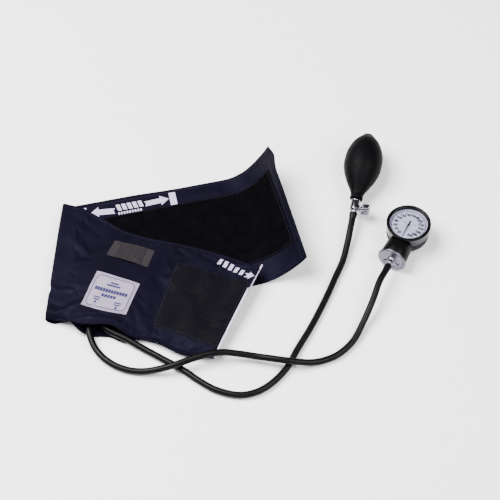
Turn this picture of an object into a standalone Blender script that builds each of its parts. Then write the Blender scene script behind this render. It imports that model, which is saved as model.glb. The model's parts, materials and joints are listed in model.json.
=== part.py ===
"""Aneroid blood pressure cuff: folded nylon cuff, two hoses, inflation bulb and round gauge.

Dimensions are in millimetres and degrees; every mesh is scaled to metres when it is made.
+Z is up, the set lies on the plane z = 0, and the origin is under the middle of the set.
"""
import math

import bmesh
import bpy
from mathutils import Matrix, Vector

MM = 0.001
GAP = 0.3                       # clearance kept between neighbouring solids

# Middle of the set in the layout's own plan coordinates
LAYOUT_CENTRE = (-0.45, -3.82)

# Cuff: one strip, folded once along a slanting line
FOLD_TOP = (-199.0, 57.0)
FOLD_BOTTOM = (-210.5, -98.3)
TAIL_ANGLE = 12.9
TAIL_BOTTOM, TAIL_TOP = -48.8, 100.1          # the tail's edges, across its length
TAIL_END_BOTTOM, TAIL_END_TOP = 62.7, 53.7    # where the free end lies, along the tail
CURL_START = -2.0                             # the tail leaves the table here
CURL_BOTTOM, CURL_TOP, CURL_POWER = 0.00165, 0.00296, 2.4
FABRIC = 1.4
FOLD_DEPTH = 9.0
PILE = 1.0
PILE_GAP = 0.6                                # more than GAP, because both sheets curve
FLAT_STEPS, CURL_STEPS = 3, 6                 # grid steps along the tail, flat and curled
PILE_SIDE = (-21.0, 77.0)                     # the pile's edges, across the tail
PILE_START = -150.0
LINING_RAMP = (16.0, 14.0)                    # where the lining drops beside the tail, and over what width

# Front leg: edges in its own plan axes, along and across the leg
LEG_BOTTOM_LINE = ((-160.1, -167.8), (27.0, -149.0))
LEG_TOP_LINE = ((-206.1, -19.6), (33.0, -17.0))
BOTTOM_WAVE = ((-160, 0), (-138, 2.3), (-112, 1.8), (-88, 8.4), (-62, 4.8), (-40, 2.6),
               (-10, -3.3), (27, 0))
TOP_WAVE = ((-206, 0), (-184, 0.4), (-160, -2.9), (-128, -7.2), (-95, -5.6), (-57, -2),
            (-10, -1.5), (33, 0))
BOTTOM_HEIGHT = ((-160, 8.6), (-142, 12), (-124, 17.5), (-98, 18), (-80, 14.5), (-58, 9.5),
                 (-30, 8), (27, 8))
TOP_HEIGHT = ((-206, 8.6), (-184, 9), (-160, 8.2), (-128, 7), (-95, 7), (-57, 9), (-10, 12),
              (14, 13.5), (33, 20))
CROWN = 5.0                                   # how far the leg's middle stands above its edges
FOLD_CROWN = 2.5
FOLD_ROUNDING = 4.0
TABLE_GAP = 0.05                              # height of the lowest cloth above the table
STRIP_WIDTH, STRIP_BELOW, STRIP_ABOVE = 3.0, 1.0, 0.3
BLADDER_SIDE = (-136.5, -36.0)                # the bladder's edges, across the front leg
BLADDER_INSET_FOLD, BLADDER_INSET_END = 15.0, 20.0
BLADDER_CLEARANCE = 1.3                       # slack between the bladder and the fabric round it
HOOK, HOOK_THICKNESS = ((-56.0, 23.6), (-138.0, -41.0)), 0.8
LABEL, LABEL_THICKNESS = ((-133.0, -82.0), (-135.5, -90.0)), 0.5
STRAP, STRAP_THICKNESS, STRAP_ARCH = ((-132.5, -85.7), (-67.5, -43.5)), 1.5, 1.6

# Hoses
HOSE_RADIUS = 3.75
HOSE_STEP = 17.0
PORT_LENGTH, PORT_RADIUS = 7.0, 3.2
GAUGE_HOSE_ROUTE = (
    (-165.3, -97.0, 8.6), (-164.2, -106.0, 8.4), (-162.3, -115.3, 7.2), (-157.6, -127.3, 5.4),
    (-150.1, -138.0, 4.3), (-140.4, -146.8, 3.9), (-128.4, -153.6, 3.9), (-115.2, -157.6, 4.1),
    (-101.5, -158.8, 5.3), (-87.0, -158.2, 8.8), (-70.1, -155.0, 12.4), (-51.0, -148.2, 14.2),
    (-34.0, -143.0, 14.9), (-18.0, -140.6, 14.4), (0.5, -140.9, 11.4), (17.0, -143.2, 10.4),
    (33.0, -146.6, 11.8), (49.3, -149.4, 12.2), (63.0, -149.6, 9.4), (76.0, -147.9, 5.6),
    (89.0, -144.5, 4.0), (105.4, -136.4, 3.9), (120.9, -120.7, 4.6), (132.2, -99.5, 8.2), (143.1, -75.1, 14.4))
BULB_HOSE_ROUTE = (
    (-153.4, -97.6, 8.6), (-149.2, -103.6, 8.4), (-140.0, -110.2, 7.4), (-124.9, -117.6, 6.2),
    (-104.2, -130.2, 4.6), (-81.4, -143.9, 3.9), (-63.0, -155.2, 3.9), (-43.4, -170.2, 3.9),
    (-24.8, -181.4, 3.9), (-1.4, -187.2, 3.9), (17.2, -183.4, 3.9), (33.4, -172.6, 3.9),
    (49.0, -154.4, 3.9), (61.0, -130.5, 3.9), (76.0, -102.5, 3.9), (91.9, -67.7, 3.9),
    (104.2, -37.4, 4.2), (112.6, -16.5, 5.4), (118.4, 6.5, 8.6))
GAUGE_HOSE_LEAD, BULB_HOSE_LEAD = (14.0, 0.0), (12.0, 0.0)     # straight run into each fitting

# Gauge: its axes have +Y towards 12 o'clock and +Z out of the dial
GAUGE_PLACE = (184.5, 15.3, 0.35)
GAUGE_TURN, GAUGE_TILT = -26.2, 2.4
CASE_RADIUS, CASE_WALL = 23.6, 1.7
CASE_BACK, CASE_TOP = 3.4, 17.2
BAND_TOP = 28.4
BEZEL_RADIUS, BEZEL_INSIDE, BEZEL_TOP = 24.6, 21.2, 31.0
NECK_AXIS, NECK_ROOT, NECK_END_RADIUS, NECK_BORE = 14.6, 13.9, 15.3, 12.6
NECK_END, CAP_FACE, CAP_RADIUS = -41.0, -44.6, 16.6
NIPPLE_RADIUS, NIPPLE_TIP = 2.3, -60.5
SLEEVE_START, SLEEVE_END = -52.5, -61.8
DIAL_HEIGHT, DIAL_RADIUS = 25.4, 21.6
POINTER_LENGTH, POINTER_TAIL = 17.6, 6.0
ARBOR_RADIUS, ARBOR_HOLE, ARBOR_TIP_RADIUS = 0.8, 1.1, 0.5
PINION_TEETH, GEAR_RATIO, MODULE = 8, 9, 0.3
SECTOR_SHAFT_ANGLE = -100.0     # direction from the pointer's axis to the sector's shaft
SECTOR_TEETH, SECTOR_HUB = 11, 1.45
SHAFT_RADIUS, SHAFT_HOLE = 0.7, 1.0
LEVER_KNOB, LEVER_ROOT = 0.55, 0.55           # knob radius in mm; half angle of the lever's root
PIN_RADIUS, PIN_SLACK = 0.4, 0.5
POINTER_SWEEP = 330.0
PLATE_LEVELS = ((6.4, 7.4), (19.0, 20.0))
PILLAR_RADIUS = 1.6
PILLARS = ((-13.0, 3.0), (13.0, 3.0), (8.6, -13.4))
PLATE_OUTLINE = ((-16.5, 6.0), (16.5, 6.0), (16.0, 1.0), (10.6, -16.2), (-6.0, -16.2), (-16.0, 1.0))
BACK_SCREWS = ((-9.0, 10.0), (9.0, 10.0))
CAPSULE_NOSE, CAPSULE_STEM = -25.5, -39.4
SPRING_TURNS, SPRING_START, SPRING_PITCH = 3, 1.7, 1.15
SPRING_LEVELS, SPRING_HALF_WIDTH = (17.0, 17.6), 0.15
CLIP_HALF_WIDTH = 6.0

# Inflation bulb: its axes have +Y along the bulb away from the hose and +X along the release screw
BULB_PLACE = (137.3, 102.1, 21.7)
BULB_TURN, BULB_TILT = -11.1, 7.0
BULB_WALL = 2.2
BULB_OUTLINE = ((-45.4, 6.5), (-44.6, 7.4), (-43.0, 7.4), (-41.4, 7.1), (-37.6, 7.5), (-32.0, 10.1),
                (-24.6, 14.1), (-15.2, 18.2), (-6.0, 20.9), (3.2, 21.4), (13.4, 20.4), (22.8, 17.3),
                (30.0, 13.0), (34.6, 8.9), (36.6, 6.6))
VALVE_RADIUS, VALVE_END, BARB_TIP = 5.2, -59.0, -70.5
SCREW_STATION, CHECK_BALL_STATION = -56.0, -47.6
KNOB_RADIUS, KNOB_START, KNOB_LENGTH = 6.0, 7.2, 9.6
KNOB_FLUTES, FLUTE_DEPTH = 18, 0.55
NEEDLE_RADIUS, NEEDLE_HOLE, SEAL_ROOM = 0.95, 1.3, 2.3
BALL_RADIUS = 1.7
BULB_SLEEVE = (-62.4, -71.6)

SEGMENTS = 24


# ---------------------------------------------------------------- general helpers

def clear_scene():
    """Remove whatever objects the open file holds."""
    for obj in list(bpy.data.objects):
        bpy.data.objects.remove(obj, do_unlink=True)


def material(name, colour, roughness, metallic=0.0):
    """A plain Principled material."""
    mat = bpy.data.materials.new(name)
    mat.use_nodes = True
    shader = mat.node_tree.nodes["Principled BSDF"]
    shader.inputs["Base Color"].default_value = (*colour, 1.0)
    shader.inputs["Roughness"].default_value = roughness
    shader.inputs["Metallic"].default_value = metallic
    return mat


def add_object(name, bm, mat, parent=None, location=(0, 0, 0)):
    """Turn a bmesh in millimetres into an object in metres."""
    bmesh.ops.recalc_face_normals(bm, faces=bm.faces)
    bmesh.ops.scale(bm, vec=(MM, MM, MM), verts=bm.verts)
    mesh = bpy.data.meshes.new(name)
    bm.to_mesh(mesh)
    bm.free()
    mesh.shade_smooth()
    mesh.set_sharp_from_angle(angle=math.radians(35))
    mesh.materials.append(mat)
    obj = bpy.data.objects.new(name, mesh)
    bpy.context.collection.objects.link(obj)
    obj.parent = parent
    obj.location = Vector(location) * MM
    return obj


def add_empty(name, place, turn=0.0, tilt=0.0):
    """A frame whose +Y end is tipped down by tilt, then turned about the vertical."""
    empty = bpy.data.objects.new(name, None)
    bpy.context.collection.objects.link(empty)
    empty.location = Vector((place[0] - LAYOUT_CENTRE[0], place[1] - LAYOUT_CENTRE[1], place[2])) * MM
    empty.rotation_euler = (math.radians(tilt), 0, math.radians(turn))
    return empty


def hermite(x, knots):
    """Smooth value at x of the curve through the (x, value) knots, flat outside them."""
    if x <= knots[0][0]:
        return knots[0][1]
    if x >= knots[-1][0]:
        return knots[-1][1]
    index = max(i for i in range(len(knots) - 1) if knots[i][0] <= x)
    slopes = []
    for i in (index, index + 1):
        before = knots[max(i - 1, 0)]
        after = knots[min(i + 1, len(knots) - 1)]
        slopes.append((after[1] - before[1]) / (after[0] - before[0]))
    (x0, y0), (x1, y1) = knots[index], knots[index + 1]
    width = x1 - x0
    t = (x - x0) / width
    return ((2 * t**3 - 3 * t**2 + 1) * y0 + (t**3 - 2 * t**2 + t) * width * slopes[0]
            + (3 * t**2 - 2 * t**3) * y1 + (t**3 - t**2) * width * slopes[1])


def smooth_route(points, step):
    """Points about a step apart along the smooth curve through the given points."""
    points = [Vector(p) for p in points]
    lengths = [0.0]
    for a, b in zip(points, points[1:]):
        lengths.append(lengths[-1] + (b - a).length)
    count = round(lengths[-1] / step)
    route = []
    for k in range(count + 1):
        at = lengths[-1] * k / count
        route.append([hermite(at, [(l, p[axis]) for l, p in zip(lengths, points)]) for axis in range(3)])
    return route


def turned(profile, along="Z", segments=SEGMENTS, closed=False):
    """A solid turned about an axis from (height, radius) points; radius 0 is on the axis."""
    bm = bmesh.new()
    rings = []
    for height, radius in profile:
        corners = 1 if radius == 0 else segments
        ring = []
        for k in range(corners):
            angle = 2 * math.pi * k / segments
            side, up = radius * math.cos(angle), radius * math.sin(angle)
            spots = {"X": (height, side, up), "Y": (side, height, up), "Z": (side, up, height)}
            ring.append(bm.verts.new(spots[along]))
        rings.append(ring)
    pairs = list(zip(rings, rings[1:]))
    if closed:
        pairs.append((rings[-1], rings[0]))
    for low, high in pairs:
        for k in range(segments):
            a, b = low[k % len(low)], low[(k + 1) % len(low)]
            c, d = high[(k + 1) % len(high)], high[k % len(high)]
            corners = [v for i, v in enumerate((a, b, c, d)) if v not in (a, b, c, d)[:i]]
            bm.faces.new(corners)
    return bm


def shift(bm, offset):
    """Move a whole bmesh."""
    bmesh.ops.translate(bm, vec=offset, verts=bm.verts)
    return bm


def circle(radius, centre=(0, 0), count=12):
    """Corners of a circle."""
    turns = [2 * math.pi * k / count for k in range(count)]
    return [(centre[0] + radius * math.cos(a), centre[1] + radius * math.sin(a)) for a in turns]


def plate(outline, holes, low, high):
    """A flat plate between two heights, with round or shaped holes."""
    bm = bmesh.new()
    edges = []
    for loop in (outline, *holes):
        corners = [bm.verts.new((x, y, low)) for x, y in loop]
        edges += [bm.edges.new((a, b)) for a, b in zip(corners, corners[1:] + corners[:1])]
    bmesh.ops.triangle_fill(bm, use_beauty=True, edges=edges)
    grown = bmesh.ops.extrude_face_region(bm, geom=bm.faces[:])
    top = [v for v in grown["geom"] if isinstance(v, bmesh.types.BMVert)]
    bmesh.ops.translate(bm, vec=(0, 0, high - low), verts=top)
    return bm


def add_boolean(obj, cutter_bm, operation, parent, name):
    """Keep a cutter in the file and join it to, or cut it from, the object."""
    cutter = add_object(name, cutter_bm, obj.data.materials[0], parent)
    cutter.hide_render = True
    cutter.display_type = "WIRE"
    modifier = obj.modifiers.new(name, "BOOLEAN")
    modifier.object = cutter
    modifier.operation = operation
    modifier.solver = "EXACT"


# ---------------------------------------------------------------- cuff surfaces

def unit(angle):
    """Unit vector in plan."""
    return Vector((math.cos(math.radians(angle)), math.sin(math.radians(angle))))


FOLD_LINE = Vector(FOLD_TOP) - Vector(FOLD_BOTTOM)
FOLD_NORMAL_ANGLE = math.degrees(math.atan2(FOLD_LINE.y, FOLD_LINE.x)) - 90
LEG_ANGLE = 2 * FOLD_NORMAL_ANGLE - TAIL_ANGLE
TAIL_ALONG, TAIL_ACROSS = unit(TAIL_ANGLE), unit(TAIL_ANGLE + 90)
LEG_ALONG, LEG_ACROSS = unit(LEG_ANGLE), unit(LEG_ANGLE + 90)
LEG = (LEG_ALONG, LEG_ACROSS)
TAIL = (TAIL_ALONG, TAIL_ACROSS)


def lerp(a, b, t):
    """Blend two numbers."""
    return a * (1 - t) + b * t


def offset(height, amount):
    """The same surface, higher or lower."""
    return lambda along, across: height(along, across) + amount


def centred(plan, height):
    """Layout plan coordinates and a height, as a point about the set's middle."""
    return (plan[0] - LAYOUT_CENTRE[0], plan[1] - LAYOUT_CENTRE[1], height)


def line_value(line, x):
    """Height of a straight line at x."""
    (x0, y0), (x1, y1) = line
    return y0 + (y1 - y0) * (x - x0) / (x1 - x0)


def leg_edges(along):
    """Bottom and top edges of the front leg at a station along it."""
    bottom = line_value(LEG_BOTTOM_LINE, along) + hermite(along, BOTTOM_WAVE)
    top = line_value(LEG_TOP_LINE, along) + hermite(along, TOP_WAVE)
    return bottom, top


def cover_height(along, across):
    """Height of the front leg's upper face."""
    bottom, top = leg_edges(along)
    v = min(max((across - bottom) / (top - bottom), 0), 1)
    edge = lerp(hermite(along, BOTTOM_HEIGHT), hermite(along, TOP_HEIGHT), v)
    return edge + CROWN * (4 * v * (1 - v)) ** 0.8


def tail_lift(along, across):
    """How far the tail's lower face is off the table."""
    v = (across - TAIL_BOTTOM) / (TAIL_TOP - TAIL_BOTTOM)
    return lerp(CURL_BOTTOM, CURL_TOP, v) * max(along - CURL_START, 0) ** CURL_POWER


def lining_height(along, across):
    """Height of the front leg's lower face, over the tail and down to the table beside it."""
    plan = LEG_ALONG * along + LEG_ACROSS * across
    s, t = plan.dot(TAIL_ALONG), plan.dot(TAIL_ACROSS)
    ramp = min(max((t - TAIL_BOTTOM + LINING_RAMP[0]) / LINING_RAMP[1], 0), 1)
    over_tail = FABRIC + PILE_GAP + PILE + GAP + tail_lift(s, max(t, TAIL_BOTTOM))
    return TABLE_GAP + ramp * ramp * (3 - 2 * ramp) * over_tail


def slab(plan, low, high, columns, rows):
    """A closed sheet over a grid: plan(u, v) gives along and across, low and high its two faces."""
    bm = bmesh.new()
    layers = []
    for height, frame in (low, high):
        grid = []
        for j in range(rows + 1):
            line = []
            for i in range(columns + 1):
                along, across = plan(i / columns, j / rows)
                spot = frame[0] * along + frame[1] * across
                line.append(bm.verts.new(centred(spot, height(along, across))))
            grid.append(line)
        layers.append(grid)
    bottom, top = layers
    for j in range(rows):
        for i in range(columns):
            for grid in layers:
                bm.faces.new((grid[j][i], grid[j][i + 1], grid[j + 1][i + 1], grid[j + 1][i]))
    rim = [(j, 0) for j in range(rows)] + [(rows, i) for i in range(columns)]
    rim += [(j, columns) for j in range(rows, 0, -1)] + [(0, i) for i in range(columns, 0, -1)]
    for (j, i), (l, k) in zip(rim, rim[1:] + rim[:1]):
        bm.faces.new((bottom[j][i], bottom[l][k], top[l][k], top[j][i]))
    return bm


def leg_plan(inset_fold, inset_end):
    """Grid over the whole front leg, between its fold and its index edge."""
    def plan(u, v):
        start = lerp(LEG_BOTTOM_LINE[0][0], LEG_TOP_LINE[0][0], v) + inset_fold
        end = lerp(LEG_BOTTOM_LINE[1][0], LEG_TOP_LINE[1][0], v) - inset_end
        along = lerp(start, end, u)
        bottom, top = leg_edges(along)
        return along, lerp(bottom, top, v)
    return plan


def bladder_plan(u, v):
    """Grid over the bladder, which starts beside the fold."""
    across = lerp(*BLADDER_SIDE, v)
    share = (across - LEG_BOTTOM_LINE[0][1]) / (LEG_TOP_LINE[0][1] - LEG_BOTTOM_LINE[0][1])
    start = lerp(LEG_BOTTOM_LINE[0][0], LEG_TOP_LINE[0][0], share) + BLADDER_INSET_FOLD
    return lerp(start, LEG_BOTTOM_LINE[1][0] - BLADDER_INSET_END, u), across


def rectangle_plan(box):
    """Grid over a rectangle given as its range along and its range across."""
    return lambda u, v: (lerp(*box[0], u), lerp(*box[1], v))


def tail_station(u, start, v, last):
    """Place along the tail: flat part first, then equal steps up the curl, of which last are used."""
    flat = 1 - last / (last + FLAT_STEPS)
    if u <= flat + 1e-9:
        return lerp(start, CURL_START, u / flat)
    end = lerp(TAIL_END_BOTTOM, TAIL_END_TOP, v)
    return lerp(CURL_START, end, (u - flat) / (1 - flat) * last / CURL_STEPS)


def tail_plan(u, v):
    """Grid over the tail, from beside the fold to the free end."""
    corner_bottom, corner_top = Vector(FOLD_BOTTOM), Vector(FOLD_TOP)
    start = lerp(corner_bottom.dot(TAIL_ALONG), corner_top.dot(TAIL_ALONG), v) + FOLD_DEPTH + GAP
    return tail_station(u, start, v, CURL_STEPS), lerp(TAIL_BOTTOM, TAIL_TOP, v)


def pile_plan(u, v):
    """Grid over the loop pile, which stops one step of the curl short of the free end."""
    across = lerp(*PILE_SIDE, v)
    share = (across - TAIL_BOTTOM) / (TAIL_TOP - TAIL_BOTTOM)
    return tail_station(u, PILE_START, share, CURL_STEPS - 1), across


def build_cuff():
    """Soft parts of the folded cuff, each a plain closed solid."""
    nylon = material("navy_nylon", (0.013, 0.012, 0.028), 0.62)
    rubber = material("bladder_rubber", (0.03, 0.03, 0.03), 0.7)
    pile = material("loop_pile", (0.006, 0.006, 0.008), 0.95)
    hook = material("hook_tape", (0.011, 0.012, 0.014), 0.6)
    white = material("white_tape", (0.6, 0.58, 0.66), 0.5)
    webbing = material("grey_webbing", (0.16, 0.14, 0.14), 0.85)

    columns = FLAT_STEPS + CURL_STEPS
    tail = slab(tail_plan, (tail_lift, TAIL), (offset(tail_lift, FABRIC), TAIL), columns, 6)
    add_object("cuff_tail", tail, nylon)
    pile_low = offset(tail_lift, FABRIC + PILE_GAP)
    pile_high = offset(pile_low, PILE)
    panel = slab(pile_plan, (pile_low, TAIL), (pile_high, TAIL), columns - 1, 5)
    add_object("loop_pile_panel", panel, pile)
    add_object("cuff_fold", fold_solid(), nylon)

    whole = leg_plan(FOLD_DEPTH + GAP, STRIP_WIDTH + GAP)
    lining_top = offset(lining_height, FABRIC)
    cover_low = offset(cover_height, -FABRIC)
    add_object("cuff_lining", slab(whole, (lining_height, LEG), (lining_top, LEG), 16, 9), nylon)
    add_object("cuff_cover", slab(whole, (cover_low, LEG), (cover_height, LEG), 16, 9), nylon)
    bladder_low = offset(lining_height, FABRIC + BLADDER_CLEARANCE)
    bladder_high = offset(cover_height, -FABRIC - BLADDER_CLEARANCE)
    bladder = slab(bladder_plan, (bladder_low, LEG), (bladder_high, LEG), 14, 8)
    add_object("bladder", bladder, rubber)
    strip_low = offset(cover_height, -FABRIC - STRIP_BELOW)
    strip_high = offset(cover_height, STRIP_ABOVE)
    add_object("index_strip", slab(strip_plan, (strip_low, LEG), (strip_high, LEG), 1, 10), white)

    add_object("hook_panel", on_cover(HOOK, HOOK_THICKNESS, 8, 8), hook)
    add_object("cuff_label", on_cover(LABEL, LABEL_THICKNESS, 6, 6), white)
    add_object("gauge_strap", strap_solid(), webbing)
    gauge_route, bulb_route = hose_routes()
    add_port("bladder_port_gauge", gauge_route, rubber)
    add_port("bladder_port_bulb", bulb_route, rubber)


def on_cover(box, thickness, columns, rows):
    """A thin patch that lies on the front leg's upper face."""
    low, high = offset(cover_height, GAP), offset(cover_height, GAP + thickness)
    return slab(rectangle_plan(box), (low, LEG), (high, LEG), columns, rows)


def strip_plan(u, v):
    """Grid over the white tape along the index edge."""
    inner = leg_plan(0, STRIP_WIDTH)(1, v)
    outer = leg_plan(0, 0)(1, v)
    return lerp(inner[0], outer[0], u), lerp(inner[1], outer[1], u)


def strap_solid():
    """Webbing sewn down at both ends and standing a little proud between them."""
    (left, right), _ = STRAP

    def arch(along):
        t = (along - left) / (right - left)
        return STRAP_ARCH * min(max(math.sin(math.pi * t) * 1.6 - 0.5, 0), 1)

    def low(along, across):
        return cover_height(along, across) + GAP + arch(along)

    return slab(rectangle_plan(STRAP), (low, LEG), (offset(low, STRAP_THICKNESS), LEG), 10, 5)


def fold_solid():
    """The rounded turn of fabric that joins the tail to the front leg."""
    stations, arc = 8, 6
    bm = bmesh.new()
    inward = unit(FOLD_NORMAL_ANGLE)
    back = inward * (FOLD_DEPTH - GAP)
    rings = []
    for j in range(stations + 1):
        v = j / stations
        base = Vector(FOLD_BOTTOM).lerp(Vector(FOLD_TOP), v)
        height = lerp(BOTTOM_HEIGHT[0][1], TOP_HEIGHT[0][1], v) + FOLD_CROWN * 4 * v * (1 - v)
        ring = [bm.verts.new(centred(base + back, TABLE_GAP))]
        for k in range(arc + 1):
            angle = math.radians(-90 + 180 * k / arc)
            spot = base + inward * FOLD_ROUNDING * (1 - math.cos(angle))
            level = height / 2 * (1 + math.sin(angle)) + TABLE_GAP
            ring.append(bm.verts.new(centred(spot, level)))
        ring.append(bm.verts.new(centred(base + back, height)))
        rings.append(ring)
    for low, high in zip(rings, rings[1:]):
        for k in range(len(low)):
            n = (k + 1) % len(low)
            bm.faces.new((low[k], low[n], high[n], high[k]))
    bm.faces.new(rings[0])
    bm.faces.new(rings[-1])
    return bm


def add_port(name, route, mat):
    """A rubber stub moulded on the bladder, in line with the start of its hose."""
    start, following = [Vector(centred(p, p[2])) for p in route[:2]]
    heading = (following - start).normalized()
    outline = [(0, 0), (0, PORT_RADIUS), (PORT_LENGTH, PORT_RADIUS), (PORT_LENGTH, 0)]
    port = turned(outline, segments=10)
    turn = heading.to_track_quat("Z", "Y").to_matrix().to_4x4()
    place = Matrix.Translation(start - heading * (PORT_LENGTH + GAP))
    bmesh.ops.transform(port, matrix=place @ turn, verts=port.verts)
    add_object(name, port, mat)


# ---------------------------------------------------------------- hoses

def add_hose(name, route, mat):
    """A round hose along the smooth curve through its route."""
    curve = bpy.data.curves.new(name, "CURVE")
    curve.dimensions = "3D"
    curve.bevel_depth = HOSE_RADIUS * MM
    curve.bevel_resolution = 2
    curve.use_fill_caps = True
    spline = curve.splines.new("POLY")
    spline.points.add(len(route) - 1)
    for point, spot in zip(spline.points, route):
        point.co = (*(Vector(centred(spot, spot[2])) * MM), 1.0)
    curve.materials.append(mat)
    obj = bpy.data.objects.new(name, curve)
    bpy.context.collection.objects.link(obj)
    return obj


def hose_end(frame_place, turn, tilt, local):
    """A point of a tilted fitting in layout coordinates, for the end of a hose."""
    rotation = Matrix.Rotation(math.radians(turn), 4, "Z") @ Matrix.Rotation(math.radians(tilt), 4, "X")
    return tuple(Vector(frame_place) + rotation @ Vector(local))


def hose_routes():
    """Both centre lines, from the bladder's ports to the sleeves on the gauge and on the valve."""
    gauge_end = []
    for lead in GAUGE_HOSE_LEAD:
        local = (0, SLEEVE_END - GAP - lead, NECK_AXIS)
        gauge_end.append(hose_end(GAUGE_PLACE, GAUGE_TURN, -GAUGE_TILT, local))
    bulb_end = []
    for lead in BULB_HOSE_LEAD:
        local = (0, BULB_SLEEVE[1] - GAP - lead, 0)
        bulb_end.append(hose_end(BULB_PLACE, BULB_TURN, BULB_TILT, local))
    return (smooth_route((*GAUGE_HOSE_ROUTE, *gauge_end), HOSE_STEP),
            smooth_route((*BULB_HOSE_ROUTE, *bulb_end), HOSE_STEP))


def build_hoses():
    """Both hoses."""
    rubber = material("hose_rubber", (0.012, 0.012, 0.013), 0.5)
    for name, route in zip(("gauge_hose", "bulb_hose"), hose_routes()):
        add_hose(name, route, rubber)


# ---------------------------------------------------------------- gauge

def build_gauge():
    """The aneroid gauge, from its clip up to its lens."""
    frame = add_empty("gauge_frame", GAUGE_PLACE, GAUGE_TURN, -GAUGE_TILT)
    black = material("black_case", (0.012, 0.012, 0.013), 0.42)
    chrome = material("chrome", (0.75, 0.75, 0.78), 0.12, 1.0)
    nickel = material("nickel", (0.62, 0.6, 0.66), 0.25, 1.0)
    brass = material("brass", (0.6, 0.42, 0.16), 0.3, 1.0)
    white = material("dial_white", (0.62, 0.62, 0.74), 0.5)
    glass = material("lens", (0.9, 0.9, 0.95), 0.05)
    rubber = material("gauge_rubber", (0.02, 0.02, 0.02), 0.7)
    steel = material("spring_steel", (0.5, 0.5, 0.52), 0.3, 1.0)

    build_case(frame, black)
    build_front(frame, black, chrome, white, glass)
    build_neck_fittings(frame, nickel, rubber)
    build_movement(frame, brass, steel)
    build_back(frame, steel)


def build_case(frame, mat):
    """Black cup with the capsule's neck in one piece, bored through to the cup."""
    inside = CASE_RADIUS - CASE_WALL
    cup = [(CASE_BACK, 0), (CASE_BACK, 17), (4.6, 20.0), (7.5, 22.4), (12, CASE_RADIUS),
           (CASE_TOP, CASE_RADIUS), (CASE_TOP, inside), (CASE_BACK + 2, inside - 1.6), (CASE_BACK + 2, 0)]
    case = add_object("gauge_case", turned(cup, segments=32), mat, frame)
    neck = turned([(-18.0, 0), (-18.0, NECK_ROOT), (NECK_END, NECK_END_RADIUS), (NECK_END, 0)], "Y", 28)
    add_boolean(case, shift(neck, (0, 0, NECK_AXIS)), "UNION", frame, "neck_cutter")
    above, clear = BEZEL_TOP + 3, BEZEL_RADIUS + 0.35
    room = turned([(CASE_BACK + 2.2, 0), (CASE_BACK + 2.2, inside - 1.8), (CASE_TOP - 1, inside),
                   (CASE_TOP, inside), (CASE_TOP, clear), (above, clear), (above, 0)], segments=32)
    add_boolean(case, room, "DIFFERENCE", frame, "case_room_cutter")
    bore = turned([(-12.0, 0), (-12.0, NECK_BORE), (NECK_END - 1, NECK_BORE), (NECK_END - 1, 0)], "Y", 28)
    add_boolean(case, shift(bore, (0, 0, NECK_AXIS)), "DIFFERENCE", frame, "neck_bore_cutter")
    holes = bmesh.new()
    for x, y in BACK_SCREWS:
        bmesh.ops.create_cone(holes, cap_ends=True, segments=12, radius1=1.4, radius2=1.4, depth=8,
                              matrix=Matrix.Translation((x, y, CASE_BACK)))
    add_boolean(case, holes, "DIFFERENCE", frame, "back_hole_cutter")


def build_front(frame, black, chrome, white, glass):
    """Chrome band, bezel, lens, dial and pointer."""
    band = [(CASE_TOP + GAP, 22.1), (CASE_TOP + GAP, 23.8), (BAND_TOP, 23.9), (BAND_TOP, 22.1)]
    add_object("case_band", turned(band, segments=32, closed=True), chrome, frame)
    bezel = [(BAND_TOP + GAP, BEZEL_RADIUS - 0.4), (BAND_TOP + 0.8, BEZEL_RADIUS),
             (BEZEL_TOP - 0.9, BEZEL_RADIUS), (BEZEL_TOP, BEZEL_RADIUS - 0.9),
             (BEZEL_TOP, BEZEL_RADIUS - 1.7), (BEZEL_TOP - 1, BEZEL_INSIDE),
             (BAND_TOP + 1.1, BEZEL_INSIDE), (BAND_TOP + 1.1, 22.3), (BAND_TOP + GAP, 22.3)]
    add_object("bezel", turned(bezel, segments=32, closed=True), black, frame)
    lens_low, lens_high = BAND_TOP - 0.5, BAND_TOP + 0.8
    lens = [(lens_low, 0), (lens_low, 21.7), (lens_high, 21.7), (lens_high + 0.1, 0)]
    add_object("gauge_lens", turned(lens, segments=32), glass, frame)
    face = DIAL_HEIGHT + 0.6
    dial = [(DIAL_HEIGHT, 1.2), (DIAL_HEIGHT, DIAL_RADIUS), (face, DIAL_RADIUS), (face, 1.2)]
    dial_plate = add_object("dial_plate", turned(dial, segments=32, closed=True), white, frame)
    feet = bmesh.new()
    foot_low, foot_high = PLATE_LEVELS[1][1] + GAP, DIAL_HEIGHT + 0.3
    for x in (-10.5, 10.5):
        bmesh.ops.create_cone(feet, cap_ends=True, segments=8, radius1=1.2, radius2=1.2,
                              depth=foot_high - foot_low,
                              matrix=Matrix.Translation((x, -2.0, (foot_high + foot_low) / 2)))
    add_boolean(dial_plate, feet, "UNION", frame, "dial_feet")
    add_object("pointer", pointer_solid(), black, frame)


def pointer_solid():
    """Tapered hand pointing to zero at 6 o'clock, with a short counterweight."""
    level = DIAL_HEIGHT + 1.2
    half = [(0.2, -POINTER_LENGTH), (0.55, -1.3), (1.3, -0.5), (1.3, 0.5), (0.6, 1.3), (0.7, POINTER_TAIL)]
    outline = half + [(-x, y) for x, y in reversed(half)]
    return plate(outline, [circle(ARBOR_TIP_RADIUS + GAP, count=10)], level, level + 0.5)


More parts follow.
